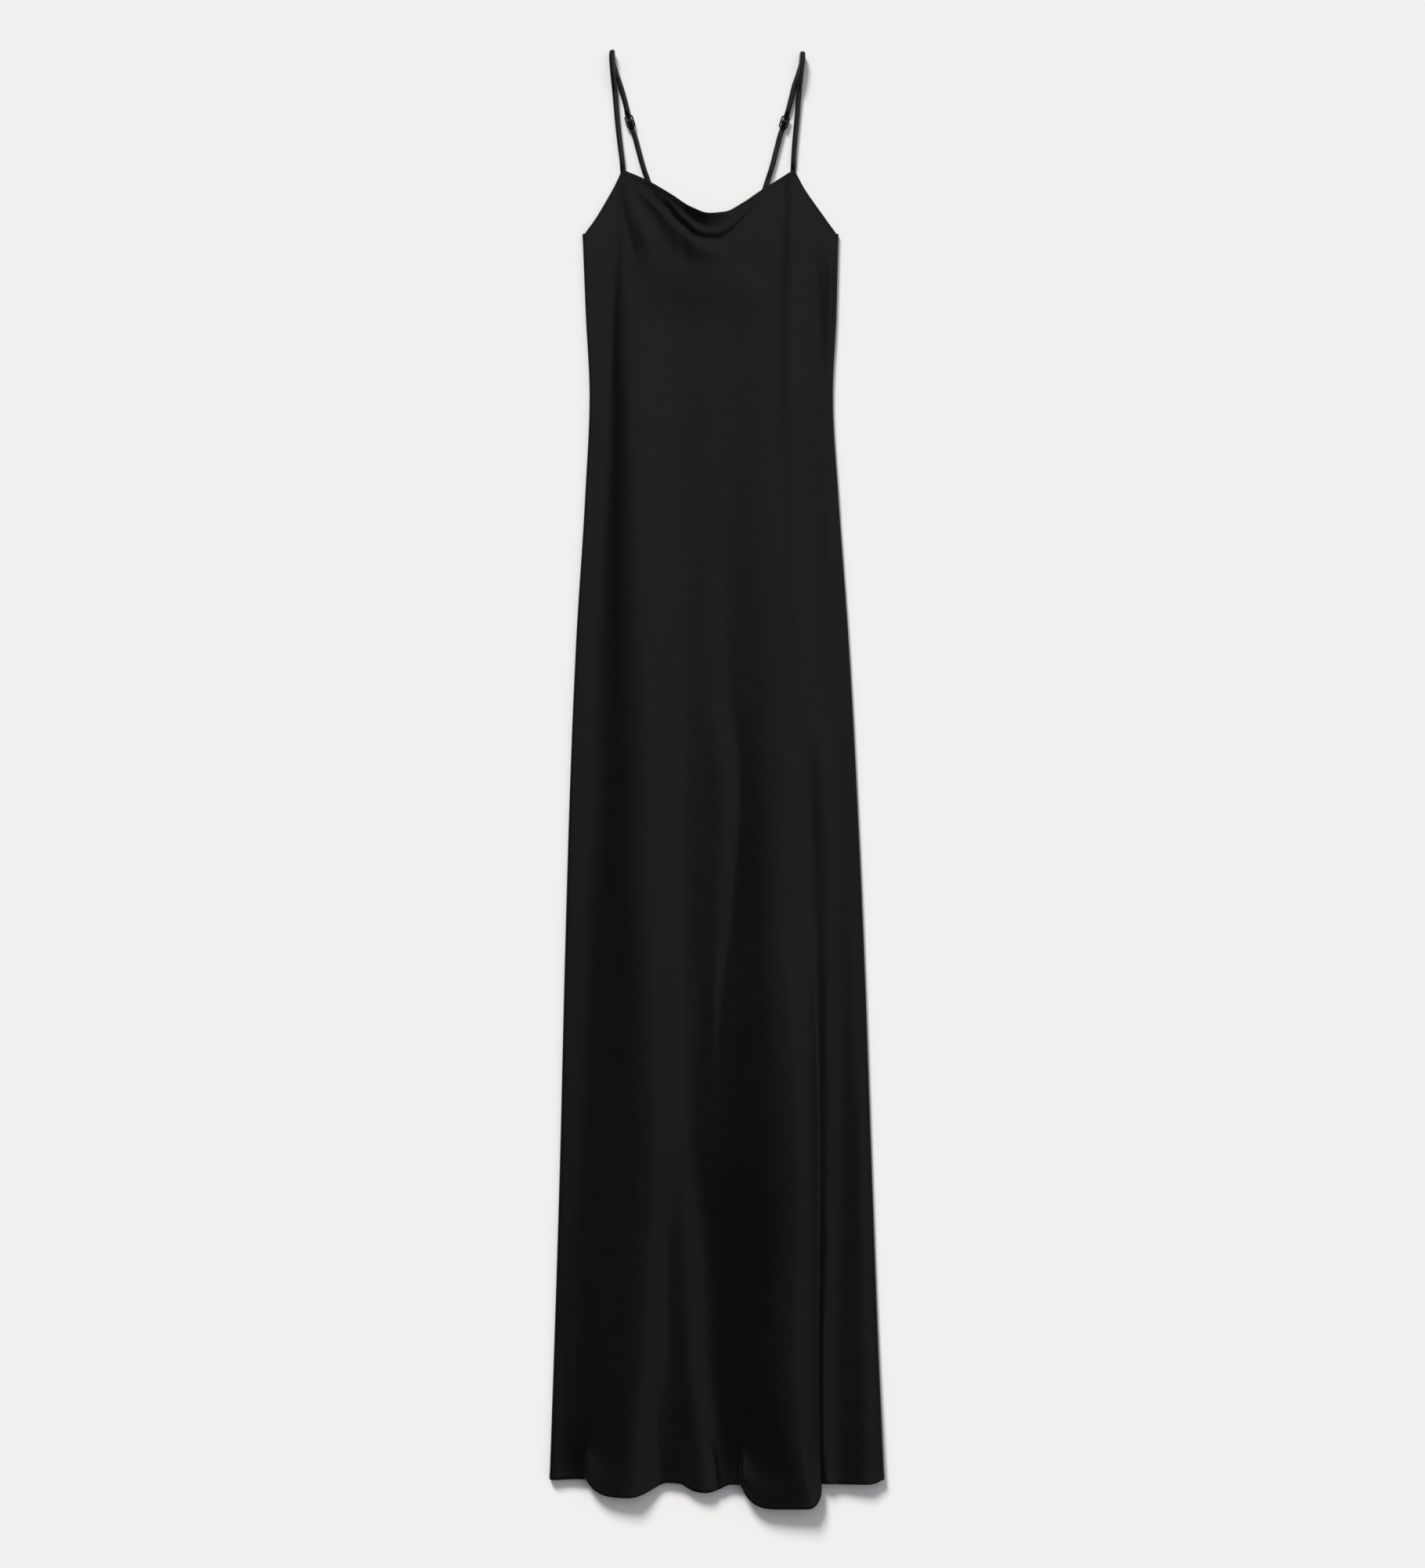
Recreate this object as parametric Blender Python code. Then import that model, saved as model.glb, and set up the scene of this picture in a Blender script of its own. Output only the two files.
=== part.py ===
"""Long slip dress, laid flat and face up on a surface.

Lengths in the tables are millimetres; the scene is in metres, +Z up.
+Y points to the shoulder straps, X runs across the dress, and the origin is
on the surface, in the middle of the dress as it lies.

The dress is a tube of two bias-cut panels. As it lies, both sides are turned
under, so the front wraps round each side fold and ends on the underside at
its side seam, with the back panel folded inside it:

      ____front_____________________________front____
     ( __back____                       ____back___  )
     (_________  \_____________________/  _________ _)
        front  ^ seam      back      seam ^  front

The front carries three long flutes, which open out towards the hem, and a
soft cowl at the neckline. Each strap is one rouleau: up from the front, over
at the shoulder and down the back through a slider.
"""

import math

import bpy
import numpy as np

MM = 0.001

# Driving sizes; "down" counts from the top of the straps
WALL = 1.0  # the cloth
SEAM_GAP = 0.3  # between pieces that are sewn together
MIDDLE = 719.7  # down to the middle of the dress's length
HEM = 1412.8  # down to the side folds' hem
ARMHOLE_END = 184.5  # down to where the armholes meet the side folds
UNDERARM_DROP = 27.0  # further down to the underarm points, on the underside
BACK_TOP = 188.5  # down to the back's straight top edge
BACK_DIP = 3.0
UNDERSIDE_HEM = 1410.8
STEP_RUN = 100.0  # over which the front comes down past the turned-under strip
FRONT_FOLD_RADIUS, BACK_FOLD_RADIUS = 1.95, 0.65  # of the wall's middle
BACK_FOLD_INSET = 0.7
BACK_STEP_RUN = 34.0
STRAP_HALF_WIDTH, STRAP_HALF_HIGH = 2.65, 2.3
STRAP_SIDES = 8

# The front's top edge between the straps, and how far each armhole edge hangs below a straight line.
NECKLINE = dict(
    x=(-93.4, -70.0, -45.0, -25.0, -8.0, 8.0, 25.0, 45.0, 76.3),
    down=(117.6, 128.0, 143.1, 156.4, 162.4, 160.4, 151.4, 137.5, 117.9),
)
ARMHOLES = dict(
    way=(0.0, 0.25, 0.60, 0.90, 1.0),
    left=(0.0, 3.6, 4.2, 1.4, 0.0),
    right=(0.0, 3.4, 2.0, 0.6, 0.0),
)
# The outline as it lies, and the width turned under on each side.
SECTIONS = dict(
    down=(184.5, 259.6, 341.0, 445.6, 585.1, 724.6, 910.6, 1096.6, 1282.6, 1412.8),
    left=(-132.9, -129.9, -126.1, -130.7, -139.4, -145.3, -150.8, -155.3, -161.1, -165.6),
    right=(120.4, 118.6, 115.0, 120.8, 130.7, 138.4, 146.7, 153.2, 160.1, 165.9),
    under=(62.0, 60.0, 58.0, 61.0, 64.0, 66.0, 69.0, 72.0, 75.0, 77.0),
)
# Height of the front's middle surface over the layers beneath it, at each side fold and between them.
LAYERS = dict(
    down=(110.0, 150.0, 184.5, 213.0, 300.0, 1200.0, 1412.8),
    left=(2.9, 3.6, 4.6, 4.6, 4.6, 4.6, 5.4),
    middle=(4.6, 5.4, 5.4, 5.1, 2.0, 2.0, 7.0),
    right=(2.9, 3.6, 4.6, 4.6, 4.6, 4.6, 8.0),
    step_at=(26.0, 26.0, 28.0, 52.0, 64.0, 77.0, 80.0),
    roll=(0.0, 0.3, 0.7, 0.8, 0.9, 0.9, 1.2),
)
ROLL_WIDTH = 24.0
# Flutes are ridges that run down the skirt: each has a crest and a foot on either side.
FLUTE_LINES = dict(
    down=(184.5, 275.0, 400.0, 520.0, 620.0, 725.0, 841.0, 957.0, 1073.0, 1190.0, 1290.0, 1360.0, 1412.8),
    left_1=(-102.0, -106.0, -112.0, -119.5, -124.0, -125.0, -135.0, -142.0, -146.0, -146.0, -142.0, -134.0, -130.5),
    a_foot=(-102.0, -106.0, -112.0, -119.5, -124.0, -125.0, -135.0, -143.0, -149.5, -153.0, -156.0, -156.0, -152.0),
    a_crest=(-86.5, -84.0, -79.5, -76.0, -72.0, -69.0, -69.0, -64.0, -62.5, -68.0, -74.0, -80.0, -84.0),
    a_end=(-50.5, -41.5, -34.0, -29.0, -29.0, -30.5, -30.5, -30.5, -27.0, -47.0, -47.5, -57.0, -54.0),
    mid_1=(-16.5, -10.0, -5.0, 1.0, 4.5, 5.0, 6.0, 8.0, 13.0, 6.0, 2.0, -4.0, -12.0),
    mid_2=(15.5, 19.5, 22.5, 27.5, 34.0, 36.0, 38.0, 42.0, 47.0, 44.0, 41.0, 34.0, 23.0),
    b_foot=(-56.0, -56.0, -56.0, -56.0, -56.0, -56.0, -56.0, -56.0, -55.0, -54.5, -48.0, -50.0, -58.0),
    b_crest=(-40.0, -40.0, -40.0, -40.0, -40.0, -40.0, -40.0, -40.0, -38.0, -30.6, -27.5, -17.8, -12.5),
    b_end=(-22.0, -22.0, -22.0, -22.0, -22.0, -22.0, -22.0, -22.0, -22.0, -10.5, -7.0, 1.5, 9.0),
    f_foot=(-26.0, -26.0, -27.5, -30.5, -33.5, -36.0, -36.0, -41.5, -41.5, -41.5, -41.5, -41.5, -41.5),
    f_crest=(-5.0, -5.0, -5.0, -6.0, -6.0, 7.0, 2.5, -4.5, -10.0, -10.0, -10.0, -10.0, -10.0),
    f_end=(5.0, 5.0, 5.0, 8.0, 13.0, 25.0, 17.0, 4.0, 2.0, 2.0, 2.0, 2.0, 2.0),
    c_foot=(11.0, 11.0, 11.0, 6.5, 4.0, 3.0, 0.0, -26.0, -33.5, -15.0, -11.0, -3.0, 6.0),
    c_crest=(44.0, 46.0, 47.0, 53.0, 62.0, 64.5, 62.5, 70.5, 77.5, 76.0, 75.0, 81.0, 92.0),
    c_end=(62.5, 59.5, 57.5, 62.5, 70.0, 77.0, 82.0, 97.0, 99.0, 99.0, 98.0, 99.0, 102.5),
    c_out=(90.0, 88.0, 88.0, 95.0, 98.0, 90.0, 96.0, 99.0, 100.5, 101.0, 99.5, 99.5, 102.5),
    d_crest=(76.5, 74.0, 78.0, 80.0, 88.0, 105.5, 108.5, 109.0, 110.5, 109.5, 108.0, 107.0, 109.0),
    d_end=(96.5, 93.5, 93.5, 101.0, 108.0, 124.0, 125.0, 126.0, 126.0, 123.0, 120.0, 119.5, 121.5),
    e_foot=(92.0, 94.0, 98.0, 104.0, 110.0, 115.0, 118.0, 116.5, 116.5, 115.0, 113.5, 116.5, 116.5),
    e_crest=(100.0, 98.0, 104.0, 112.0, 119.0, 126.0, 132.0, 137.0, 142.5, 144.5, 147.0, 149.0, 148.0),
)
# How high each flute stands.
FLUTE_HEIGHTS = dict(
    down=(184.5, 275.0, 400.0, 520.0, 620.0, 725.0, 841.0, 957.0, 1073.0, 1190.0, 1290.0, 1360.0, 1412.8),
    a=(0.8, 2.9, 4.7, 5.5, 5.5, 5.5, 6.1, 6.0, 5.6, 4.9, 5.2, 6.4, 8.5),
    b=(0.0, 0.0, 0.0, 0.0, 0.0, 0.0, 0.0, 0.0, 0.2, 1.2, 1.6, 1.8, 2.9),
    f=(0.0, 0.0, 0.3, 0.6, 0.9, 2.3, 2.4, 0.8, 0.0, 0.0, 0.0, 0.0, 0.0),
    c=(0.0, 0.2, 1.0, 2.0, 2.8, 4.4, 5.4, 8.2, 9.2, 8.2, 8.4, 8.0, 7.4),
    d=(1.7, 1.4, 1.3, 1.0, 0.9, 2.2, 1.6, 1.1, 1.1, 1.3, 1.4, 1.6, 2.0),
    e=(0.0, 0.0, 0.0, 0.0, 0.0, 0.0, 0.2, 0.6, 1.5, 1.7, 2.0, 2.3, 2.4),
)
# Where a flute's left side is steepest, as shares of the way from foot to crest.
FLUTE_SIDES = dict(
    down=(184.5, 275.0, 400.0, 520.0, 620.0, 725.0, 841.0, 957.0, 1073.0, 1190.0, 1290.0, 1360.0, 1412.8),
    a_from=(0.40, 0.28, 0.37, 0.40, 0.41, 0.39, 0.38, 0.34, 0.24, 0.11, 0.08, 0.10, 0.10),
    a_to=(0.45, 0.34, 0.43, 0.46, 0.49, 0.52, 0.62, 0.66, 0.72, 0.78, 0.80, 0.80, 0.78),
    b_from=(0.40, 0.40, 0.40, 0.40, 0.40, 0.40, 0.40, 0.40, 0.40, 0.30, 0.30, 0.25, 0.20),
    b_to=(0.70, 0.70, 0.70, 0.70, 0.70, 0.70, 0.70, 0.70, 0.70, 0.78, 0.78, 0.82, 0.85),
    f_from=(0.50, 0.50, 0.50, 0.45, 0.40, 0.40, 0.40, 0.66, 0.66, 0.66, 0.66, 0.66, 0.66),
    f_to=(0.60, 0.60, 0.60, 0.55, 0.45, 0.76, 0.76, 0.76, 0.76, 0.76, 0.76, 0.76, 0.76),
    c_from=(0.33, 0.33, 0.33, 0.32, 0.26, 0.38, 0.35, 0.20, 0.13, 0.13, 0.14, 0.12, 0.10),
    c_to=(0.50, 0.50, 0.50, 0.55, 0.61, 0.56, 0.64, 0.72, 0.70, 0.66, 0.66, 0.78, 0.87),
    d_from=(0.42, 0.42, 0.42, 0.42, 0.42, 0.42, 0.54, 0.40, 0.25, 0.25, 0.25, 0.25, 0.20),
    d_to=(0.60, 0.60, 0.60, 0.60, 0.60, 0.76, 0.82, 0.75, 0.65, 0.65, 0.65, 0.60, 0.50),
    e_from=(0.50, 0.50, 0.50, 0.50, 0.50, 0.50, 0.50, 0.50, 0.50, 0.50, 0.40, 0.35, 0.35),
    e_to=(0.70, 0.70, 0.70, 0.70, 0.70, 0.70, 0.70, 0.70, 0.72, 0.75, 0.78, 0.80, 0.80),
)
# The right sides keep one shape: steepest between two shares of the way from the far foot to the
# crest. At the hem a flute hangs lower between two lips, with sides as square as its exponents
# say, and a share of its height stands as a wall at the left lip.
FLUTES = dict(
    name=("a", "b", "f", "c", "d", "e"),
    foot=("a_foot", "b_foot", "f_foot", "c_foot", "c_end", "e_foot"),
    crest=("a_crest", "b_crest", "f_crest", "c_crest", "d_crest", "e_crest"),
    end=("a_end", "b_end", "f_end", "c_out", "d_end", "right"),
    right_from=(0.30, 0.35, 0.30, 0.03, 0.55, 0.30),
    right_to=(0.75, 0.75, 0.75, 0.12, 0.85, 0.70),
    hang=(15.6, 8.0, 0.0, 23.4, 0.0, 0.0),
    lip_left=(-130.5, -37.0, -41.5, 22.5, 99.0, 116.0),
    lip_middle=(-96.0, -12.5, -10.0, 77.0, 107.0, 148.0),
    lip_right=(-48.0, 14.0, 2.0, 103.0, 121.0, 165.0),
    lip_wall=(0.36, 0.0, 0.0, 0.40, 0.0, 0.0),
    square_left=(3.7, 2.8, 2.0, 6.2, 2.0, 2.0),
    square_right=(2.7, 2.4, 2.0, 9.0, 2.0, 2.0),
    bulge_left=(2.0, 0.5, 0.0, 2.2, 0.0, 0.0),
    bulge_right=(0.0, 0.5, 0.0, 2.8, 0.0, 0.0),
)
# How much lower than the side folds the hem lies between the flutes.
HEM_LINE = dict(
    x=(-165.5, -130.0, -45.0, 15.0, 108.0, 125.0, 150.0, 158.0, 165.5),
    lower=(0.4, -0.6, 3.2, 4.6, 3.4, 4.0, 3.8, 2.6, -1.6),
)
# The cowl: soft steps that hang below the neckline. Above its line a step stands at its height;
# below it the cloth falls away, steepest between two shares of the way back up.
COWL_FIRST = dict(
    x=(-70.0, -64.7, -55.4, -46.1, -36.8, -27.5, -18.2, -8.9, 0.4, 9.7, 19.0, 28.3, 38.0, 50.0),
    down=(130.0, 132.5, 143.5, 150.5, 162.0, 170.5, 178.0, 180.6, 181.0, 176.8, 168.5, 159.2, 149.0, 138.0),
    height=(0.0, 0.3, 1.0, 1.7, 2.2, 2.3, 2.3, 2.3, 2.2, 1.9, 1.5, 1.0, 0.4, 0.0),
    below=(8.0, 8.0, 8.0, 7.5, 7.5, 7.5, 7.5, 7.0, 6.5, 5.0, 4.5, 4.5, 5.0, 6.0),
    steep_from=0.25,
    steep_to=0.75,
)
COWL_SECOND = dict(
    x=(-86.0, -80.0, -74.0, -64.7, -55.4, -46.1, -36.8, -27.5, -18.2, -8.9, 0.4, 12.0, 30.0, 60.0),
    down=(128.0, 135.5, 142.0, 150.0, 158.3, 168.4, 178.0, 185.4, 193.5, 198.5, 200.0, 200.0, 200.0, 200.0),
    height=(0.0, 0.4, 0.9, 1.8, 2.3, 2.6, 2.8, 2.9, 2.8, 2.3, 1.5, 0.8, 0.3, 0.0),
    below=(8.0, 10.0, 12.0, 16.0, 20.0, 23.0, 25.0, 25.0, 24.0, 22.0, 20.0, 20.0, 20.0, 20.0),
    steep_from=0.62,
    steep_to=0.86,
)
# The top edge's own roll, deepest at the middle of the neckline.
NECK_ROLL = dict(
    x=(-60.0, -46.0, -37.0, -27.5, -18.0, -9.0, 0.0, 6.0, 10.0, 15.0),
    height=(0.0, 0.1, 0.4, 1.6, 2.7, 3.1, 2.6, 1.6, 0.6, 0.0),
    width=(8.0, 8.0, 9.0, 12.0, 13.5, 13.5, 13.0, 12.0, 10.0, 9.0),
)

# The straps' routes: across, down from the top, and the height and half thickness of the middle.
STRAP_LEFT = dict(
    x=(-91.6, -92.9, -93.6, -95.3, -98.4, -100.8, -102.0, -103.1, -103.9, -103.6, -103.4, -103.3,
       -103.1, -100.0, -95.3, -93.0, -89.1, -86.0, -82.2, -77.9, -72.5, -67.8, -60.8, -55.9, -53.9, -51.4),
    down=(130.5, 120.0, 110.0, 96.9, 69.8, 42.6, 31.0, 19.3, 6.2, 2.1, 1.1, 2.2,
          8.8, 20.9, 34.9, 42.6, 58.1, 70.1, 81.4, 96.9, 116.3, 129.4, 156.6, 175.0, 183.5, 194.5),
    z=(0.95, 0.95, 2.15, 2.15, 2.15, 2.7, 5.1, 6.7, 6.95, 6.2, 4.6, 3.0,
       2.15, 2.15, 2.15, 2.15, 2.15, 5.4, 2.15, 2.15, 2.15, 1.45, 1.55, 2.0, 3.55, 3.75),
    high=(0.85, 0.9, 2.3, 2.3, 2.3, 2.3, 2.3, 2.3, 2.3, 2.2, 2.1, 2.2,
          2.3, 2.3, 2.3, 2.3, 2.3, 0.8, 2.3, 2.3, 2.3, 1.45, 1.5, 1.6, 0.9, 0.8),
)
STRAP_RIGHT = dict(
    x=(74.2, 75.5, 75.9, 76.7, 79.1, 81.4, 82.5, 83.8, 85.0, 84.9, 84.8, 84.6,
       84.1, 81.0, 76.7, 74.8, 70.9, 66.9, 63.4, 59.3, 54.2, 49.9, 41.5, 36.9, 35.5, 33.6),
    down=(130.5, 120.0, 110.0, 96.9, 69.8, 42.6, 31.0, 19.3, 7.7, 3.6, 2.6, 3.7,
          10.3, 22.4, 34.9, 42.6, 58.1, 70.9, 81.4, 96.9, 116.3, 129.4, 156.6, 175.0, 183.5, 194.5),
    z=(0.95, 0.95, 2.15, 2.15, 2.15, 2.7, 5.1, 6.7, 6.95, 6.2, 4.6, 3.0,
       2.15, 2.15, 2.15, 2.15, 2.15, 5.4, 2.15, 2.15, 2.15, 1.45, 1.55, 2.0, 3.15, 3.05),
    high=STRAP_LEFT["high"],
)
# Sliders: two windows side by side along the strap, which is threaded under the end bars and over
# the middle one.
SLIDER_LENGTH, SLIDER_WIDTH, SLIDER_BAR = 12.8, 8.6, 1.5
SLIDER_Z, SLIDER_THICK = 3.1, 1.0
SLIDER_THREAD = dict(
    along=(-8.9, -5.3, -2.7, 0.0, 2.7, 5.3, 8.9),
    z=(1.7, 0.88, 3.15, 5.5, 3.15, 0.88, 1.7),
    high=(1.6, 0.72, 0.72, 0.75, 0.72, 0.72, 1.6),
)

# The largest creases of the chest: a ridge whose crest follows a line through four places, with a
# flank to its left and one to its right that widen or narrow on the way.
CREASES = dict(
    name=("pull_left", "arm_right"),
    x0=(-92.5, 116.5),
    x1=(-78.5, 117.0),
    x2=(-60.5, 116.0),
    x3=(-44.0, 114.0),
    d0=(122.0, 165.0),
    d1=(160.0, 200.0),
    d2=(200.0, 260.0),
    d3=(272.0, 350.0),
    height=(2.6, 2.4),
    left0=(4.0, 24.0),
    left1=(44.0, 9.0),
    right0=(12.0, 6.0),
    right1=(150.0, 6.0),
    steep_from=(0.15, 0.2),
    steep_to=(0.45, 0.85),
    fade_in=(0.50, 0.30),
    fade_out=(0.40, 0.55),
)

# How finely each stretch across a panel is divided, and where its rows lie on the way down
ACROSS_FRONT = (2, 4, 4, 8, 5, 3, 4, 7, 5, 1, 3, 2, 2, 4, 2)
ACROSS_BACK = (2, 3, 3, 4, 5, 4, 3, 3, 2)
DOWN_FRONT = (0, 7, 14, 21, 28, 35, 42, 49, 57, 67, 80, 104, 140, 200, 290, 400,
              520, 640, 760, 870, 970, 1050, 1110, 1155, 1190, 1214, 1233, 1252)
DOWN_BACK = (0, 14, 50, 95, 130, 165, 210, 280, 380, 520, 660, 800, 920, 1030, 1120, 1190, 1224)


def curve_through(stations, values, at):
    """A smooth curve through a table's column, which never overshoots a row."""
    s, v = np.asarray(stations, float), np.asarray(values, float)
    step = np.diff(s)
    slope = np.diff(v) / step
    same_way = slope[:-1] * slope[1:] > 0
    before = np.where(same_way, slope[:-1], 1.0)
    after = np.where(same_way, slope[1:], 1.0)
    weight_before, weight_after = 2 * step[1:] + step[:-1], step[1:] + 2 * step[:-1]
    mean = (weight_before + weight_after) / (weight_before / before + weight_after / after)
    inner = np.where(same_way, mean, 0.0)
    lean = np.concatenate([[slope[0]], inner, [slope[-1]]])
    at = np.clip(np.asarray(at, float), s[0], s[-1])
    i = np.clip(np.searchsorted(s, at, "right") - 1, 0, len(s) - 2)
    h = step[i]
    t = (at - s[i]) / h
    return (
        (1 + 2 * t) * (1 - t) ** 2 * v[i]
        + t * (1 - t) ** 2 * h * lean[i]
        + t * t * (3 - 2 * t) * v[i + 1]
        + t * t * (t - 1) * h * lean[i + 1]
    )


def column(table, name, at, key="down"):
    return curve_through(table[key], table[name], at)


def ease(t):
    t = np.clip(t, 0.0, 1.0)
    return t * t * (3 - 2 * t)


def bump(t, square=2.0):
    """1 at t = 0 and 0 from |t| = 1 on. A higher square gives a flatter top and steeper sides."""
    return (1 - np.minimum(np.abs(t), 1.0) ** square) ** 2


def flank(t, start, stop):
    """A side's rise from its foot (t = 0) to its crest (t = 1): steepest between start and stop."""
    t = np.clip(t, 0.0, 1.0)
    area = (1 + stop - start) / 2
    low = t * t / (2 * start)
    even = start / 2 + (t - start)
    high = area - (1 - t) ** 2 / (2 * (1 - stop))
    return np.where(t < start, low, np.where(t < stop, even, high)) / area


def neckline(x):
    """How far down the front's neckline is at x."""
    return curve_through(NECKLINE["x"], NECKLINE["down"], x)


def front_top(x):
    """The front's top edge: armhole, neckline, armhole."""
    left, right = SECTIONS["left"][0], SECTIONS["right"][0]
    neck_left, neck_right = NECKLINE["x"][0], NECKLINE["x"][-1]
    start = NECKLINE["down"][0]
    way_left = (neck_left - x) / (neck_left - left)
    way_right = (x - neck_right) / (right - neck_right)
    arm_left = start + (ARMHOLE_END - start) * way_left + column(ARMHOLES, "left", way_left, "way")
    arm_right = start + (ARMHOLE_END - start) * way_right + column(ARMHOLES, "right", way_right, "way")
    return np.where(x < neck_left, arm_left, np.where(x > neck_right, arm_right, neckline(x)))


def flute_line(name, down):
    if name == "right":
        return column(SECTIONS, "right", down) - 3.0
    return column(FLUTE_LINES, name, down)


def flutes(x, down):
    """The flutes at x: height, sideways bulge and extra hang."""
    height = np.zeros_like(x)
    across = np.zeros_like(x)
    hang = np.zeros_like(x)
    near_hem = ease((down - 1180.0) / (HEM - 1180.0))
    at_hem = ease((down - (HEM - 40.0)) / 32.0)
    for i, name in enumerate(FLUTES["name"]):
        foot, crest, end = (flute_line(FLUTES[k][i], down) for k in ("foot", "crest", "end"))
        start, stop = (column(FLUTE_SIDES, f"{name}_{k}", down) for k in ("from", "to"))
        lips = [FLUTES[k][i] for k in ("lip_left", "lip_middle", "lip_right")]
        left = flank(1 - (crest - x) / (crest - foot), start, stop)
        wall = FLUTES["lip_wall"][i] * at_hem
        left = left * (1 - wall) + wall * ease((x - lips[0]) / 2.6)
        right = flank(1 - (x - crest) / (end - crest), FLUTES["right_from"][i], FLUTES["right_to"][i])
        shape = np.where(x < crest, left, right)
        height += column(FLUTE_HEIGHTS, name, down) * shape
        on_left = x < lips[1]
        t = np.where(on_left, (lips[1] - x) / (lips[1] - lips[0]), (x - lips[1]) / (lips[2] - lips[1]))
        square = np.where(on_left, FLUTES["square_left"][i], FLUTES["square_right"][i])
        lobe = bump(t, 2.0 + (square - 2.0) * near_hem)
        hang += FLUTES["hang"][i] * lobe * near_hem**3
        bulge = np.where(on_left, -FLUTES["bulge_left"][i], FLUTES["bulge_right"][i])
        across += bulge * 4 * lobe * (1 - lobe) * near_hem**2
    return height, across, hang


def cowl(x, down):
    """The neckline's roll and the steps that hang below it."""
    below_edge = down - neckline(x)
    roll, width = column(NECK_ROLL, "height", x, "x"), column(NECK_ROLL, "width", x, "x")
    height = roll * flank(1 - below_edge / width, 0.2, 0.85)
    for fold in (COWL_FIRST, COWL_SECOND):
        crest = column(fold, "down", x, "x")
        slope = (column(fold, "down", x + 1.0, "x") - column(fold, "down", x - 1.0, "x")) / 2.0
        off = (down - crest) / np.sqrt(1 + slope * slope)
        shape = flank(1 - off / column(fold, "below", x, "x"), fold["steep_from"], fold["steep_to"])
        height += column(fold, "height", x, "x") * shape
    return height


def creases(x, down):
    total = np.zeros_like(x)
    for i in range(len(CREASES["name"])):
        stations = [CREASES[k][i] for k in ("d0", "d1", "d2", "d3")]
        line = curve_through(stations, [CREASES[k][i] for k in ("x0", "x1", "x2", "x3")], down)
        run = (down - stations[0]) / (stations[3] - stations[0])
        strength = ease(run / CREASES["fade_in"][i]) * ease((1 - run) / CREASES["fade_out"][i])
        strength = np.where((run > 0) & (run < 1), strength, 0.0)
        widths = [CREASES[k][i] for k in ("left0", "left1", "right0", "right1")]
        run = np.clip(run, 0, 1)
        reach = np.where(x < line, widths[0] + (widths[1] - widths[0]) * run, widths[2] + (widths[3] - widths[2]) * run)
        t = np.abs(x - line) / reach
        total += CREASES["height"][i] * strength * flank(1 - t, CREASES["steep_from"][i], CREASES["steep_to"][i])
    edge_left, edge_right = column(SECTIONS, "left", down) + 2.0, column(SECTIONS, "right", down) - 2.0
    return total * ease(np.minimum(x - edge_left, edge_right - x) / 5.0)


def front_height(x, down):
    """How high the cloth lies over the layers beneath it: at each side fold, where the left one
    rolls up a little, and between them."""
    left, middle, right = (column(LAYERS, k, down) for k in ("left", "middle", "right"))
    start = column(LAYERS, "step_at", down)
    near_left = 1 - ease((x - column(SECTIONS, "left", down) - start) / STEP_RUN)
    near_right = 1 - ease((column(SECTIONS, "right", down) - x - start) / STEP_RUN)
    inwards = (x - column(SECTIONS, "left", down) - 2.2) / ROLL_WIDTH
    roll = column(LAYERS, "roll", down) * flank(1 - inwards, 0.25, 0.75)
    return middle + (left - middle) * near_left + (right - middle) * near_right + roll


def folded(c, x_fold, down, side, radius, top_z, low_z):
    """Points round a side fold and along the strip under it: c runs 0 at the seam, 1 where the
    strip meets the fold, and 2 on top."""
    under = column(SECTIONS, "under", down)
    turn = np.pi * (np.clip(c, 1, 2) - 1.5)
    half = (top_z - low_z) / 2
    x = x_fold + side * radius * np.cos(turn)
    z = low_z + half * (1 + np.sin(turn))
    strip = np.clip(1 - c, 0, 1)
    x = np.where(c < 1, x_fold - side * strip * under, x)
    z = np.where(c < 1, low_z, z)
    return x, z


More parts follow.
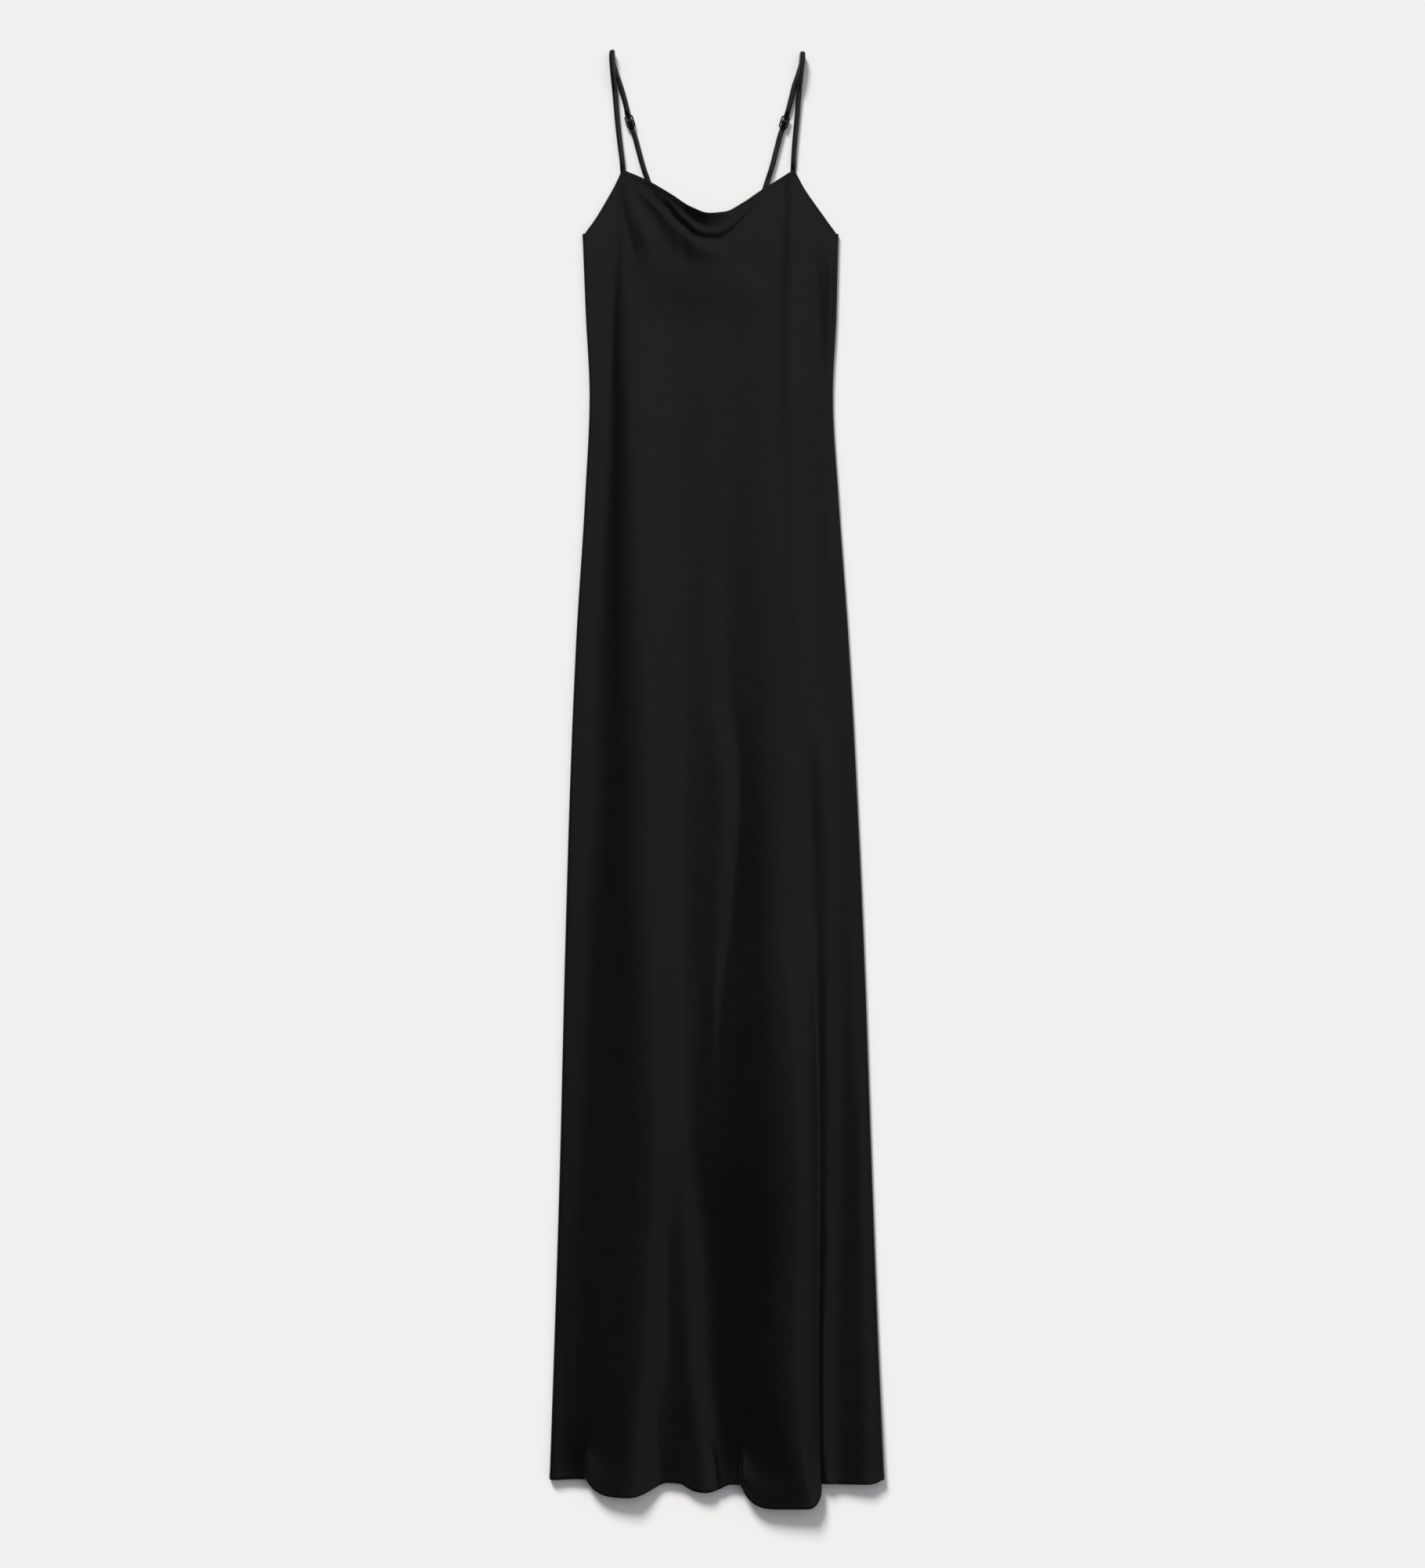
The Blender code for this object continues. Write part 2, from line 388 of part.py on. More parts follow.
def front_point(c, v):
    """The middle of the front's wall: c counts the stretches across, v runs 0 at the top edge to 1
    at the hem."""
    names = ("left", "left_1", "a_crest", "a_end", "mid_1", "mid_2", "c_crest", "c_end",
             "d_crest", "right_1", "right_2", "right")
    first, last = 2.0, 13.0
    edge = FRONT_FOLD_RADIUS + WALL / 2

    def across(down):
        rows = [column(SECTIONS, "left", down) + edge]
        for n in names[1:-1]:
            if n.startswith("right_"):
                share = 0.40 if n == "right_1" else 0.72
                near, far = column(FLUTE_LINES, "d_crest", down), column(SECTIONS, "right", down) - edge
                rows += [near + (far - near) * share]
            else:
                rows += [column(FLUTE_LINES, n, down)]
        rows += [column(SECTIONS, "right", down) - edge]
        rows = np.stack(rows)
        k = np.clip(c - first, 0, last - first)
        i = np.minimum(k.astype(int), len(names) - 2)
        low = np.take_along_axis(rows, i[None], 0)[0]
        high = np.take_along_axis(rows, i[None] + 1, 0)[0]
        return low + (high - low) * (k - i)

    top_x = across(np.full_like(c, ARMHOLE_END))
    top = front_top(top_x)
    strip = np.clip(np.maximum(1 - c, c - 14), 0, 1)
    top = np.where(strip > 0, ARMHOLE_END + UNDERARM_DROP * (1 - (1 - strip) ** 2.2), top)
    inside = (c >= first) & (c <= last)
    end = HEM + np.where(inside, curve_through(HEM_LINE["x"], HEM_LINE["lower"], across(np.full_like(c, HEM))), 0.0)
    end = np.where(strip > 0, end + (UNDERSIDE_HEM - HEM) * strip, end)
    down = top + (end - top) * v
    x = across(down)
    low_z = WALL / 2
    z = front_height(x, down)
    height, sideways, hang = flutes(x, down)
    height = height + cowl(x, down) + creases(x, down)
    for side, at in ((-1, c), (1, 15 - c)):
        x_fold = column(SECTIONS, "left" if side < 0 else "right", down) - side * edge
        top_z = column(LAYERS, "left", down) + column(LAYERS, "roll", down) if side < 0 else column(LAYERS, "right", down)
        fx, fz = folded(at, x_fold, down, side, FRONT_FOLD_RADIUS, top_z, low_z)
        here = at < 2
        x = np.where(here, fx, x)
        z = np.where(here, fz, z)
        height, sideways, hang = (np.where(here, 0.0, w) for w in (height, sideways, hang))
    return np.stack([x + sideways, down + hang, z + height], axis=-1)


def back_point(c, v):
    """The middle of the back's wall, across from seam to seam inside the front."""
    edge = FRONT_FOLD_RADIUS + WALL / 2 + BACK_FOLD_INSET
    first, last = 2.0, 7.0
    low_z, high_z = 1.5 * WALL + SEAM_GAP, 2.5 * WALL + 2 * SEAM_GAP

    def across(down):
        left, right = column(SECTIONS, "left", down), column(SECTIONS, "right", down)
        step = column(LAYERS, "step_at", np.maximum(down, 300.0))
        rows = np.stack([left + edge, left + step, left + step + BACK_STEP_RUN,
                         right - step - BACK_STEP_RUN, right - step, right - edge])
        k = np.clip(c - first, 0, last - first)
        i = np.minimum(k.astype(int), 4)
        low = np.take_along_axis(rows, i[None], 0)[0]
        high = np.take_along_axis(rows, i[None] + 1, 0)[0]
        return low + (high - low) * (k - i)

    top_x = across(np.full_like(c, BACK_TOP))
    half = 0.5 * (SECTIONS["right"][0] - SECTIONS["left"][0])
    t = (top_x - 0.5 * (SECTIONS["right"][0] + SECTIONS["left"][0])) / half
    top = BACK_TOP + BACK_DIP * bump(t / 0.5) + 6.0 * ease((np.abs(t) - 0.4) / 0.6)
    strip = np.clip(np.maximum(1 - c, c - 8), 0, 1)
    top = np.where(strip > 0, BACK_TOP + 6.0 + (ARMHOLE_END + UNDERARM_DROP - BACK_TOP - 6.0) * strip, top)
    down = top + (UNDERSIDE_HEM - top) * v
    x = across(down)
    inwards = np.minimum(x - column(SECTIONS, "left", down), column(SECTIONS, "right", down) - x)
    away = ease((inwards - column(LAYERS, "step_at", np.maximum(down, 300.0))) / BACK_STEP_RUN)
    z = high_z + (WALL / 2 - high_z) * away
    for side, at in ((-1, c), (1, 9 - c)):
        x_fold = column(SECTIONS, "left" if side < 0 else "right", down) - side * edge
        fx, fz = folded(at, x_fold, down, side, BACK_FOLD_RADIUS, np.full_like(c, high_z), low_z)
        fx = np.where(at < 1, fx + side * (1 - np.clip(at, 0, 1)) * BACK_FOLD_INSET, fx)
        here = at < 2
        x = np.where(here, fx, x)
        z = np.where(here, fz, z)
    return np.stack([x, down, z], axis=-1)


def normals(point, c, v, c_end):
    small_c, small_v = 1e-3, 2e-4
    dc = point(np.minimum(c + small_c, c_end), v) - point(np.maximum(c - small_c, 0), v)
    dv = point(c, np.minimum(v + small_v, 1)) - point(c, np.maximum(v - small_v, 0))
    n = np.cross(dc, dv)
    return n / np.linalg.norm(n, axis=-1, keepdims=True)


def to_world(points):
    """From across, down and up in millimetres to the scene's metres."""
    out = np.array(points, float)
    out[..., 0] = points[..., 0] * MM
    out[..., 1] = (MIDDLE - points[..., 1]) * MM
    out[..., 2] = points[..., 2] * MM
    return out


def grid_of(across, down, total):
    """Column and row parameters: whole numbers of stretches across, and shares of the way down."""
    cs = [k + j / n for k, n in enumerate(across) for j in range(n)] + [len(across)]
    c, v = np.meshgrid(np.array(cs, float), np.array(down, float) / total)
    return c, v


def make_object(name, verts, faces, material, smooth=True):
    mesh = bpy.data.meshes.new(name)
    mesh.from_pydata([tuple(p) for p in verts], [], faces)
    mesh.update()
    if smooth:
        mesh.shade_smooth()
        mesh.set_sharp_from_angle(angle=math.radians(50))
    obj = bpy.data.objects.new(name, mesh)
    bpy.context.scene.collection.objects.link(obj)
    mesh.materials.append(material)
    return obj


def panel(name, point, across, down, total, material):
    """A closed wall on a panel's middle surface."""
    c, v = grid_of(across, down, total)
    middle = point(c, v)
    n = normals(point, c, v, len(across))
    outer = to_world(middle + n * WALL / 2).reshape(-1, 3)
    inner = to_world(middle - n * WALL / 2).reshape(-1, 3)
    rows, cols = c.shape
    k = rows * cols
    faces = []
    for i in range(rows - 1):
        for j in range(cols - 1):
            a, b, d, e = i * cols + j, i * cols + j + 1, (i + 1) * cols + j, (i + 1) * cols + j + 1
            # each facet's diagonal follows the shorter way across
            pa, pb, pd, pe = outer[a], outer[b], outer[d], outer[e]
            if np.linalg.norm(pa - pe) < np.linalg.norm(pb - pd):
                faces += [(a, d, e), (a, e, b), (k + a, k + e, k + d), (k + a, k + b, k + e)]
            else:
                faces += [(a, d, b), (b, d, e), (k + a, k + b, k + d), (k + b, k + e, k + d)]
    ring = (
        [j for j in range(cols - 1)]
        + [i * cols + cols - 1 for i in range(rows - 1)]
        + [(rows - 1) * cols + j for j in range(cols - 1, 0, -1)]
        + [i * cols for i in range(rows - 1, 0, -1)]
    )
    for p, q in zip(ring, ring[1:] + ring[:1]):
        faces += [(p, q, k + q), (p, k + q, k + p)]
    return make_object(name, np.concatenate([outer, inner]), faces, material)


def slider_place(route):
    """Where a slider sits on the back run, and which way the strap runs there."""
    k = route["high"].index(0.8)
    x, down = route["x"], route["down"]
    run = np.array([x[k + 1] - x[k - 1], down[k + 1] - down[k - 1]])
    return k, np.array([x[k], down[k]]), run / np.linalg.norm(run)


def strap_rows(route):
    """The route's rows with the slider's threading put in."""
    k, middle, run = slider_place(route)
    rows = [(route["x"][i], route["down"][i], route["z"][i], route["high"][i]) for i in range(k)]
    for along, z, high in zip(SLIDER_THREAD["along"], SLIDER_THREAD["z"], SLIDER_THREAD["high"]):
        x, down = middle + along * run
        rows.append((x, down, z, high))
    rows += [(route["x"][i], route["down"][i], route["z"][i], route["high"][i]) for i in range(k + 1, len(route["x"]))]
    return np.array(rows)


def strap(name, route, material):
    """A rouleau: round, pressed flat where it is sewn in and where the slider holds it."""
    rows = strap_rows(route)
    reach = np.concatenate([[0], np.cumsum(np.linalg.norm(np.diff(rows[:, :3], axis=0), axis=1))])
    at = [reach[0]]
    for a, b in zip(reach[:-1], reach[1:]):
        pieces = 2 if b - a > 13 else 1
        at += [a + (b - a) * (m + 1) / pieces for m in range(pieces)]
    at = np.array(at)
    centre = np.stack([curve_through(reach, rows[:, m], at) for m in range(3)], axis=-1)
    high = curve_through(reach, rows[:, 3], at)
    wide = STRAP_HALF_WIDTH * (1 - 0.18 * (1 - high / STRAP_HALF_HIGH))
    flat = math.cos(math.pi / STRAP_SIDES)
    centre = centre * np.array([1.0, -1.0, 1.0])
    along = np.gradient(centre, at, axis=0)
    along /= np.linalg.norm(along, axis=1, keepdims=True)
    sideways = np.array([1.0, 0.0, 0.0]) - along * along[:, :1]
    sideways /= np.linalg.norm(sideways, axis=1, keepdims=True)
    up = np.cross(sideways, along)
    verts = []
    for k in range(len(at)):
        for m in range(STRAP_SIDES):
            turn = 2 * math.pi * (m + 0.5) / STRAP_SIDES
            verts.append(centre[k] + sideways[k] * wide[k] / flat * math.cos(turn) + up[k] * high[k] * math.sin(turn))
    verts = np.array(verts) * np.array([1.0, -1.0, 1.0])
    verts = to_world(verts)
    faces = []
    for k in range(len(at) - 1):
        for m in range(STRAP_SIDES):
            n = (m + 1) % STRAP_SIDES
            a, b = k * STRAP_SIDES + m, k * STRAP_SIDES + n
            faces.append((a, a + STRAP_SIDES, b + STRAP_SIDES, b))
    last = (len(at) - 1) * STRAP_SIDES
    faces.append(tuple(range(STRAP_SIDES)))
    faces.append(tuple(range(last + STRAP_SIDES - 1, last - 1, -1)))
    return make_object(name, verts, faces, material)


def rounded(length, width, radius, steps=3):
    """Corners of a rounded rectangle, anticlockwise."""
    out = []
    for k, (sx, sy) in enumerate(((1, 1), (-1, 1), (-1, -1), (1, -1))):
        for m in range(steps + 1):
            turn = math.pi / 2 * (k + m / steps)
            out.append((sx * (width / 2 - radius) + radius * math.cos(turn),
                        sy * (length / 2 - radius) + radius * math.sin(turn)))
    return out


def slider(name, route, material):
    """A cast frame with a bar across the middle."""
    _, middle, run = slider_place(route)
    curve = bpy.data.curves.new(name, "CURVE")
    curve.dimensions = "2D"
    curve.fill_mode = "BOTH"
    curve.extrude = (SLIDER_THICK / 2 - 0.2) * MM
    curve.bevel_depth = 0.2 * MM
    curve.bevel_resolution = 1
    curve.offset = -0.2 * MM
    window = (SLIDER_LENGTH - 3 * SLIDER_BAR) / 2
    shapes = [(rounded(SLIDER_LENGTH, SLIDER_WIDTH, 2.2), 0.0)]
    for side in (-1, 1):
        at = side * (window + SLIDER_BAR) / 2
        shapes.append((rounded(window, SLIDER_WIDTH - 2 * SLIDER_BAR, 1.0), at))
    for corners, at in shapes:
        spline = curve.splines.new("POLY")
        spline.points.add(len(corners) - 1)
        for point, (x, y) in zip(spline.points, corners):
            point.co = (x * MM, (y + at) * MM, 0.0, 1.0)
        spline.use_cyclic_u = True
    obj = bpy.data.objects.new(name, curve)
    bpy.context.scene.collection.objects.link(obj)
    curve.materials.append(material)
    place = to_world(np.array([middle[0], middle[1], SLIDER_Z]))
    obj.location = tuple(place)
    obj.rotation_euler = (0.0, 0.0, math.atan2(run[0], run[1]))
    return obj


def material(name, colour, roughness, metallic):
    made = bpy.data.materials.new(name)
    made.use_nodes = True
    shader = made.node_tree.nodes["Principled BSDF"]
    shader.inputs["Base Color"].default_value = (*colour, 1.0)
    shader.inputs["Roughness"].default_value = roughness
    shader.inputs["Metallic"].default_value = metallic
    return made


for obj in list(bpy.data.objects):
    bpy.data.objects.remove(obj, do_unlink=True)

front_satin = material("front_satin", (0.012, 0.012, 0.013), 0.42, 0.0)
back_satin = material("back_satin", (0.012, 0.012, 0.013), 0.42, 0.0)
strap_left_satin = material("strap_left_satin", (0.014, 0.014, 0.015), 0.4, 0.0)
strap_right_satin = material("strap_right_satin", (0.014, 0.014, 0.015), 0.4, 0.0)
slider_left_metal = material("slider_left_metal", (0.09, 0.06, 0.045), 0.35, 1.0)
slider_right_metal = material("slider_right_metal", (0.09, 0.06, 0.045), 0.35, 1.0)

panel("front_panel", front_point, ACROSS_FRONT, DOWN_FRONT, 1252.0, front_satin)
panel("back_panel", back_point, ACROSS_BACK, DOWN_BACK, 1224.0, back_satin)
strap("strap_left", STRAP_LEFT, strap_left_satin)
strap("strap_right", STRAP_RIGHT, strap_right_satin)
slider("slider_left", STRAP_LEFT, slider_left_metal)
slider("slider_right", STRAP_RIGHT, slider_right_metal)
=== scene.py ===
"""Looks of the slip dress: satin, seams, narrow hems, stitches, rouleau straps and sliders, laid on a pale floor."""

import math

import bpy
import numpy as np
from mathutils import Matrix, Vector


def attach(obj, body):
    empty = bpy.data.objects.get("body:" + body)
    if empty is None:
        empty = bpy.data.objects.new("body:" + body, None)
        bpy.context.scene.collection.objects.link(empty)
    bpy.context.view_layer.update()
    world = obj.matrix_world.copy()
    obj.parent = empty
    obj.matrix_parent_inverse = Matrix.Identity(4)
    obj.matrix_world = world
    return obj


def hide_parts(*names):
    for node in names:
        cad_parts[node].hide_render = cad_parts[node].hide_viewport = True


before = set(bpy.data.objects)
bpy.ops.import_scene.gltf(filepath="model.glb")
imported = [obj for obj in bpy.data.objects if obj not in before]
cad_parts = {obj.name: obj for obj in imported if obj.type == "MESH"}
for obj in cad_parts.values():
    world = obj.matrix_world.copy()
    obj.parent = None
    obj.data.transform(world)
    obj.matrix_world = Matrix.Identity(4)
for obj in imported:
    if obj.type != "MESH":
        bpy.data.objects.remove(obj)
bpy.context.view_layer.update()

MM = 0.001
TAU = 2 * math.pi

# ---------------------------------------------------------------- sizes and tables, millimetres
# The same sizes as the solids: "down" counts from the top of the straps.
WALL = 1.0
THIN = 0.55
SEAM_GAP = 0.3
MIDDLE = 719.7
HEM = 1412.8
ARMHOLE_END = 184.5
UNDERARM_DROP = 27.0
BACK_TOP = 188.5
BACK_DIP = 3.0
UNDERSIDE_HEM = 1410.8
STEP_RUN = 100.0
FRONT_FOLD_RADIUS, BACK_FOLD_RADIUS = 1.95, 0.65
BACK_FOLD_INSET = 0.7
BACK_STEP_RUN = 34.0
STRAP_HALF_WIDTH, STRAP_HALF_HIGH = 2.65, 2.3

# The front's top edge between the straps, and how far each armhole edge hangs below a straight line.
NECKLINE = dict(
    x=(-93.4, -70.0, -45.0, -25.0, -8.0, 8.0, 25.0, 45.0, 76.3),
    down=(117.6, 128.0, 143.1, 156.4, 162.4, 160.4, 151.4, 137.5, 117.9),
)
ARMHOLES = dict(
    way=(0.0, 0.25, 0.60, 0.90, 1.0),
    left=(0.0, 3.6, 4.2, 1.4, 0.0),
    right=(0.0, 3.4, 2.0, 0.6, 0.0),
)
SECTIONS = dict(
    down=(184.5, 259.6, 341.0, 445.6, 585.1, 724.6, 910.6, 1096.6, 1282.6, 1412.8),
    left=(-132.9, -129.9, -126.1, -130.7, -139.4, -145.3, -150.8, -155.3, -161.1, -165.6),
    right=(120.4, 118.6, 115.0, 120.8, 130.7, 138.4, 146.7, 153.2, 160.1, 165.9),
    under=(62.0, 60.0, 58.0, 61.0, 64.0, 66.0, 69.0, 72.0, 75.0, 77.0),
)
LAYERS = dict(
    down=(110.0, 150.0, 184.5, 213.0, 300.0, 1200.0, 1412.8),
    left=(2.9, 3.6, 4.6, 4.6, 4.6, 4.6, 5.4),
    middle=(4.6, 5.4, 5.4, 5.1, 2.0, 2.0, 7.0),
    right=(2.9, 3.6, 4.6, 4.6, 4.6, 4.6, 8.0),
    step_at=(26.0, 26.0, 28.0, 52.0, 64.0, 77.0, 80.0),
    roll=(0.0, 0.3, 0.7, 0.8, 0.9, 0.9, 1.2),
)
ROLL_WIDTH = 24.0
# Flutes are ridges that run down the skirt: each has a crest and a foot on either side.
FLUTE_LINES = dict(
    down=(184.5, 275.0, 400.0, 520.0, 620.0, 725.0, 841.0, 957.0, 1073.0, 1190.0, 1290.0, 1360.0, 1412.8),
    left_1=(-102.0, -106.0, -112.0, -119.5, -124.0, -125.0, -135.0, -142.0, -146.0, -146.0, -142.0, -134.0, -130.5),
    a_foot=(-102.0, -106.0, -112.0, -119.5, -124.0, -125.0, -135.0, -143.0, -149.5, -153.0, -156.0, -156.0, -152.0),
    a_crest=(-86.5, -84.0, -79.5, -76.0, -72.0, -69.0, -69.0, -64.0, -62.5, -68.0, -74.0, -80.0, -84.0),
    a_end=(-50.5, -41.5, -34.0, -29.0, -29.0, -30.5, -30.5, -30.5, -27.0, -47.0, -47.5, -57.0, -54.0),
    mid_1=(-16.5, -10.0, -5.0, 1.0, 4.5, 5.0, 6.0, 8.0, 13.0, 6.0, 2.0, -4.0, -12.0),
    mid_2=(15.5, 19.5, 22.5, 27.5, 34.0, 36.0, 38.0, 42.0, 47.0, 44.0, 41.0, 34.0, 23.0),
    b_foot=(-56.0, -56.0, -56.0, -56.0, -56.0, -56.0, -56.0, -56.0, -55.0, -54.5, -48.0, -50.0, -58.0),
    b_crest=(-40.0, -40.0, -40.0, -40.0, -40.0, -40.0, -40.0, -40.0, -38.0, -30.6, -27.5, -17.8, -12.5),
    b_end=(-22.0, -22.0, -22.0, -22.0, -22.0, -22.0, -22.0, -22.0, -22.0, -10.5, -7.0, 1.5, 9.0),
    f_foot=(-26.0, -26.0, -27.5, -30.5, -33.5, -36.0, -36.0, -41.5, -41.5, -41.5, -41.5, -41.5, -41.5),
    f_crest=(-5.0, -5.0, -5.0, -6.0, -6.0, 7.0, 2.5, -4.5, -10.0, -10.0, -10.0, -10.0, -10.0),
    f_end=(5.0, 5.0, 5.0, 8.0, 13.0, 25.0, 17.0, 4.0, 2.0, 2.0, 2.0, 2.0, 2.0),
    c_foot=(11.0, 11.0, 11.0, 6.5, 4.0, 3.0, 0.0, -26.0, -33.5, -15.0, -11.0, -3.0, 6.0),
    c_crest=(44.0, 46.0, 47.0, 53.0, 62.0, 64.5, 62.5, 70.5, 77.5, 76.0, 75.0, 81.0, 92.0),
    c_end=(62.5, 59.5, 57.5, 62.5, 70.0, 77.0, 82.0, 97.0, 99.0, 99.0, 98.0, 99.0, 102.5),
    c_out=(90.0, 88.0, 88.0, 95.0, 98.0, 90.0, 96.0, 99.0, 100.5, 101.0, 99.5, 99.5, 102.5),
    d_crest=(76.5, 74.0, 78.0, 80.0, 88.0, 105.5, 108.5, 109.0, 110.5, 109.5, 108.0, 107.0, 109.0),
    d_end=(96.5, 93.5, 93.5, 101.0, 108.0, 124.0, 125.0, 126.0, 126.0, 123.0, 120.0, 119.5, 121.5),
    e_foot=(92.0, 94.0, 98.0, 104.0, 110.0, 115.0, 118.0, 116.5, 116.5, 115.0, 113.5, 116.5, 116.5),
    e_crest=(100.0, 98.0, 104.0, 112.0, 119.0, 126.0, 132.0, 137.0, 142.5, 144.5, 147.0, 149.0, 148.0),
)
FLUTE_HEIGHTS = dict(
    down=(184.5, 275.0, 400.0, 520.0, 620.0, 725.0, 841.0, 957.0, 1073.0, 1190.0, 1290.0, 1360.0, 1412.8),
    a=(0.8, 2.9, 4.7, 5.5, 5.5, 5.5, 6.1, 6.0, 5.6, 4.9, 5.2, 6.4, 8.5),
    b=(0.0, 0.0, 0.0, 0.0, 0.0, 0.0, 0.0, 0.0, 0.2, 1.2, 1.6, 1.8, 2.9),
    f=(0.0, 0.0, 0.3, 0.6, 0.9, 2.3, 2.4, 0.8, 0.0, 0.0, 0.0, 0.0, 0.0),
    c=(0.0, 0.2, 1.0, 2.0, 2.8, 4.4, 5.4, 8.2, 9.2, 8.2, 8.4, 8.0, 7.4),
    d=(1.7, 1.4, 1.3, 1.0, 0.9, 2.2, 1.6, 1.1, 1.1, 1.3, 1.4, 1.6, 2.0),
    e=(0.0, 0.0, 0.0, 0.0, 0.0, 0.0, 0.2, 0.6, 1.5, 1.7, 2.0, 2.3, 2.4),
)
# Where a flute's left side is steepest, as shares of the way from foot to crest.
FLUTE_SIDES = dict(
    down=(184.5, 275.0, 400.0, 520.0, 620.0, 725.0, 841.0, 957.0, 1073.0, 1190.0, 1290.0, 1360.0, 1412.8),
    a_from=(0.40, 0.28, 0.37, 0.40, 0.41, 0.39, 0.38, 0.34, 0.24, 0.11, 0.08, 0.10, 0.10),
    a_to=(0.45, 0.34, 0.43, 0.46, 0.49, 0.52, 0.62, 0.66, 0.72, 0.78, 0.80, 0.80, 0.78),
    b_from=(0.40, 0.40, 0.40, 0.40, 0.40, 0.40, 0.40, 0.40, 0.40, 0.30, 0.30, 0.25, 0.20),
    b_to=(0.70, 0.70, 0.70, 0.70, 0.70, 0.70, 0.70, 0.70, 0.70, 0.78, 0.78, 0.82, 0.85),
    f_from=(0.50, 0.50, 0.50, 0.45, 0.40, 0.40, 0.40, 0.66, 0.66, 0.66, 0.66, 0.66, 0.66),
    f_to=(0.60, 0.60, 0.60, 0.55, 0.45, 0.76, 0.76, 0.76, 0.76, 0.76, 0.76, 0.76, 0.76),
    c_from=(0.33, 0.33, 0.33, 0.32, 0.26, 0.38, 0.35, 0.20, 0.13, 0.13, 0.14, 0.12, 0.10),
    c_to=(0.50, 0.50, 0.50, 0.55, 0.61, 0.56, 0.64, 0.72, 0.70, 0.66, 0.66, 0.78, 0.87),
    d_from=(0.42, 0.42, 0.42, 0.42, 0.42, 0.42, 0.54, 0.40, 0.25, 0.25, 0.25, 0.25, 0.20),
    d_to=(0.60, 0.60, 0.60, 0.60, 0.60, 0.76, 0.82, 0.75, 0.65, 0.65, 0.65, 0.60, 0.50),
    e_from=(0.50, 0.50, 0.50, 0.50, 0.50, 0.50, 0.50, 0.50, 0.50, 0.50, 0.40, 0.35, 0.35),
    e_to=(0.70, 0.70, 0.70, 0.70, 0.70, 0.70, 0.70, 0.70, 0.72, 0.75, 0.78, 0.80, 0.80),
)
# The right sides keep one shape: steepest between two shares of the way from the far foot to the
# crest. At the hem a flute hangs lower between two lips, with sides as square as its exponents
# say, and a share of its height stands as a wall at the left lip.
FLUTES = dict(
    name=("a", "b", "f", "c", "d", "e"),
    foot=("a_foot", "b_foot", "f_foot", "c_foot", "c_end", "e_foot"),
    crest=("a_crest", "b_crest", "f_crest", "c_crest", "d_crest", "e_crest"),
    end=("a_end", "b_end", "f_end", "c_out", "d_end", "right"),
    right_from=(0.30, 0.35, 0.30, 0.03, 0.55, 0.30),
    right_to=(0.75, 0.75, 0.75, 0.12, 0.85, 0.70),
    hang=(15.6, 8.0, 0.0, 23.4, 0.0, 0.0),
    lip_left=(-130.5, -37.0, -41.5, 22.5, 99.0, 116.0),
    lip_middle=(-96.0, -12.5, -10.0, 77.0, 107.0, 148.0),
    lip_right=(-48.0, 14.0, 2.0, 103.0, 121.0, 165.0),
    lip_wall=(0.36, 0.0, 0.0, 0.40, 0.0, 0.0),
    square_left=(3.7, 2.8, 2.0, 6.2, 2.0, 2.0),
    square_right=(2.7, 2.4, 2.0, 9.0, 2.0, 2.0),
    bulge_left=(2.0, 0.5, 0.0, 2.2, 0.0, 0.0),
    bulge_right=(0.0, 0.5, 0.0, 2.8, 0.0, 0.0),
)
HEM_LINE = dict(
    x=(-165.5, -130.0, -45.0, 15.0, 108.0, 125.0, 150.0, 158.0, 165.5),
    lower=(0.4, -0.6, 3.2, 4.6, 3.4, 4.0, 3.8, 2.6, -1.6),
)
# The cowl: soft steps that hang below the neckline. Above its line a step stands at its height;
# below it the cloth falls away, steepest between two shares of the way back up.
COWL_FIRST = dict(
    x=(-70.0, -64.7, -55.4, -46.1, -36.8, -27.5, -18.2, -8.9, 0.4, 9.7, 19.0, 28.3, 38.0, 50.0),
    down=(130.0, 132.5, 143.5, 150.5, 162.0, 170.5, 178.0, 180.6, 181.0, 176.8, 168.5, 159.2, 149.0, 138.0),
    height=(0.0, 0.3, 1.0, 1.7, 2.2, 2.3, 2.3, 2.3, 2.2, 1.9, 1.5, 1.0, 0.4, 0.0),
    below=(8.0, 8.0, 8.0, 7.5, 7.5, 7.5, 7.5, 7.0, 6.5, 5.0, 4.5, 4.5, 5.0, 6.0),
    steep_from=0.25,
    steep_to=0.75,
)
COWL_SECOND = dict(
    x=(-86.0, -80.0, -74.0, -64.7, -55.4, -46.1, -36.8, -27.5, -18.2, -8.9, 0.4, 12.0, 30.0, 60.0),
    down=(128.0, 135.5, 142.0, 150.0, 158.3, 168.4, 178.0, 185.4, 193.5, 198.5, 200.0, 200.0, 200.0, 200.0),
    height=(0.0, 0.4, 0.9, 1.8, 2.3, 2.6, 2.8, 2.9, 2.8, 2.3, 1.5, 0.8, 0.3, 0.0),
    below=(8.0, 10.0, 12.0, 16.0, 20.0, 23.0, 25.0, 25.0, 24.0, 22.0, 20.0, 20.0, 20.0, 20.0),
    steep_from=0.62,
    steep_to=0.86,
)
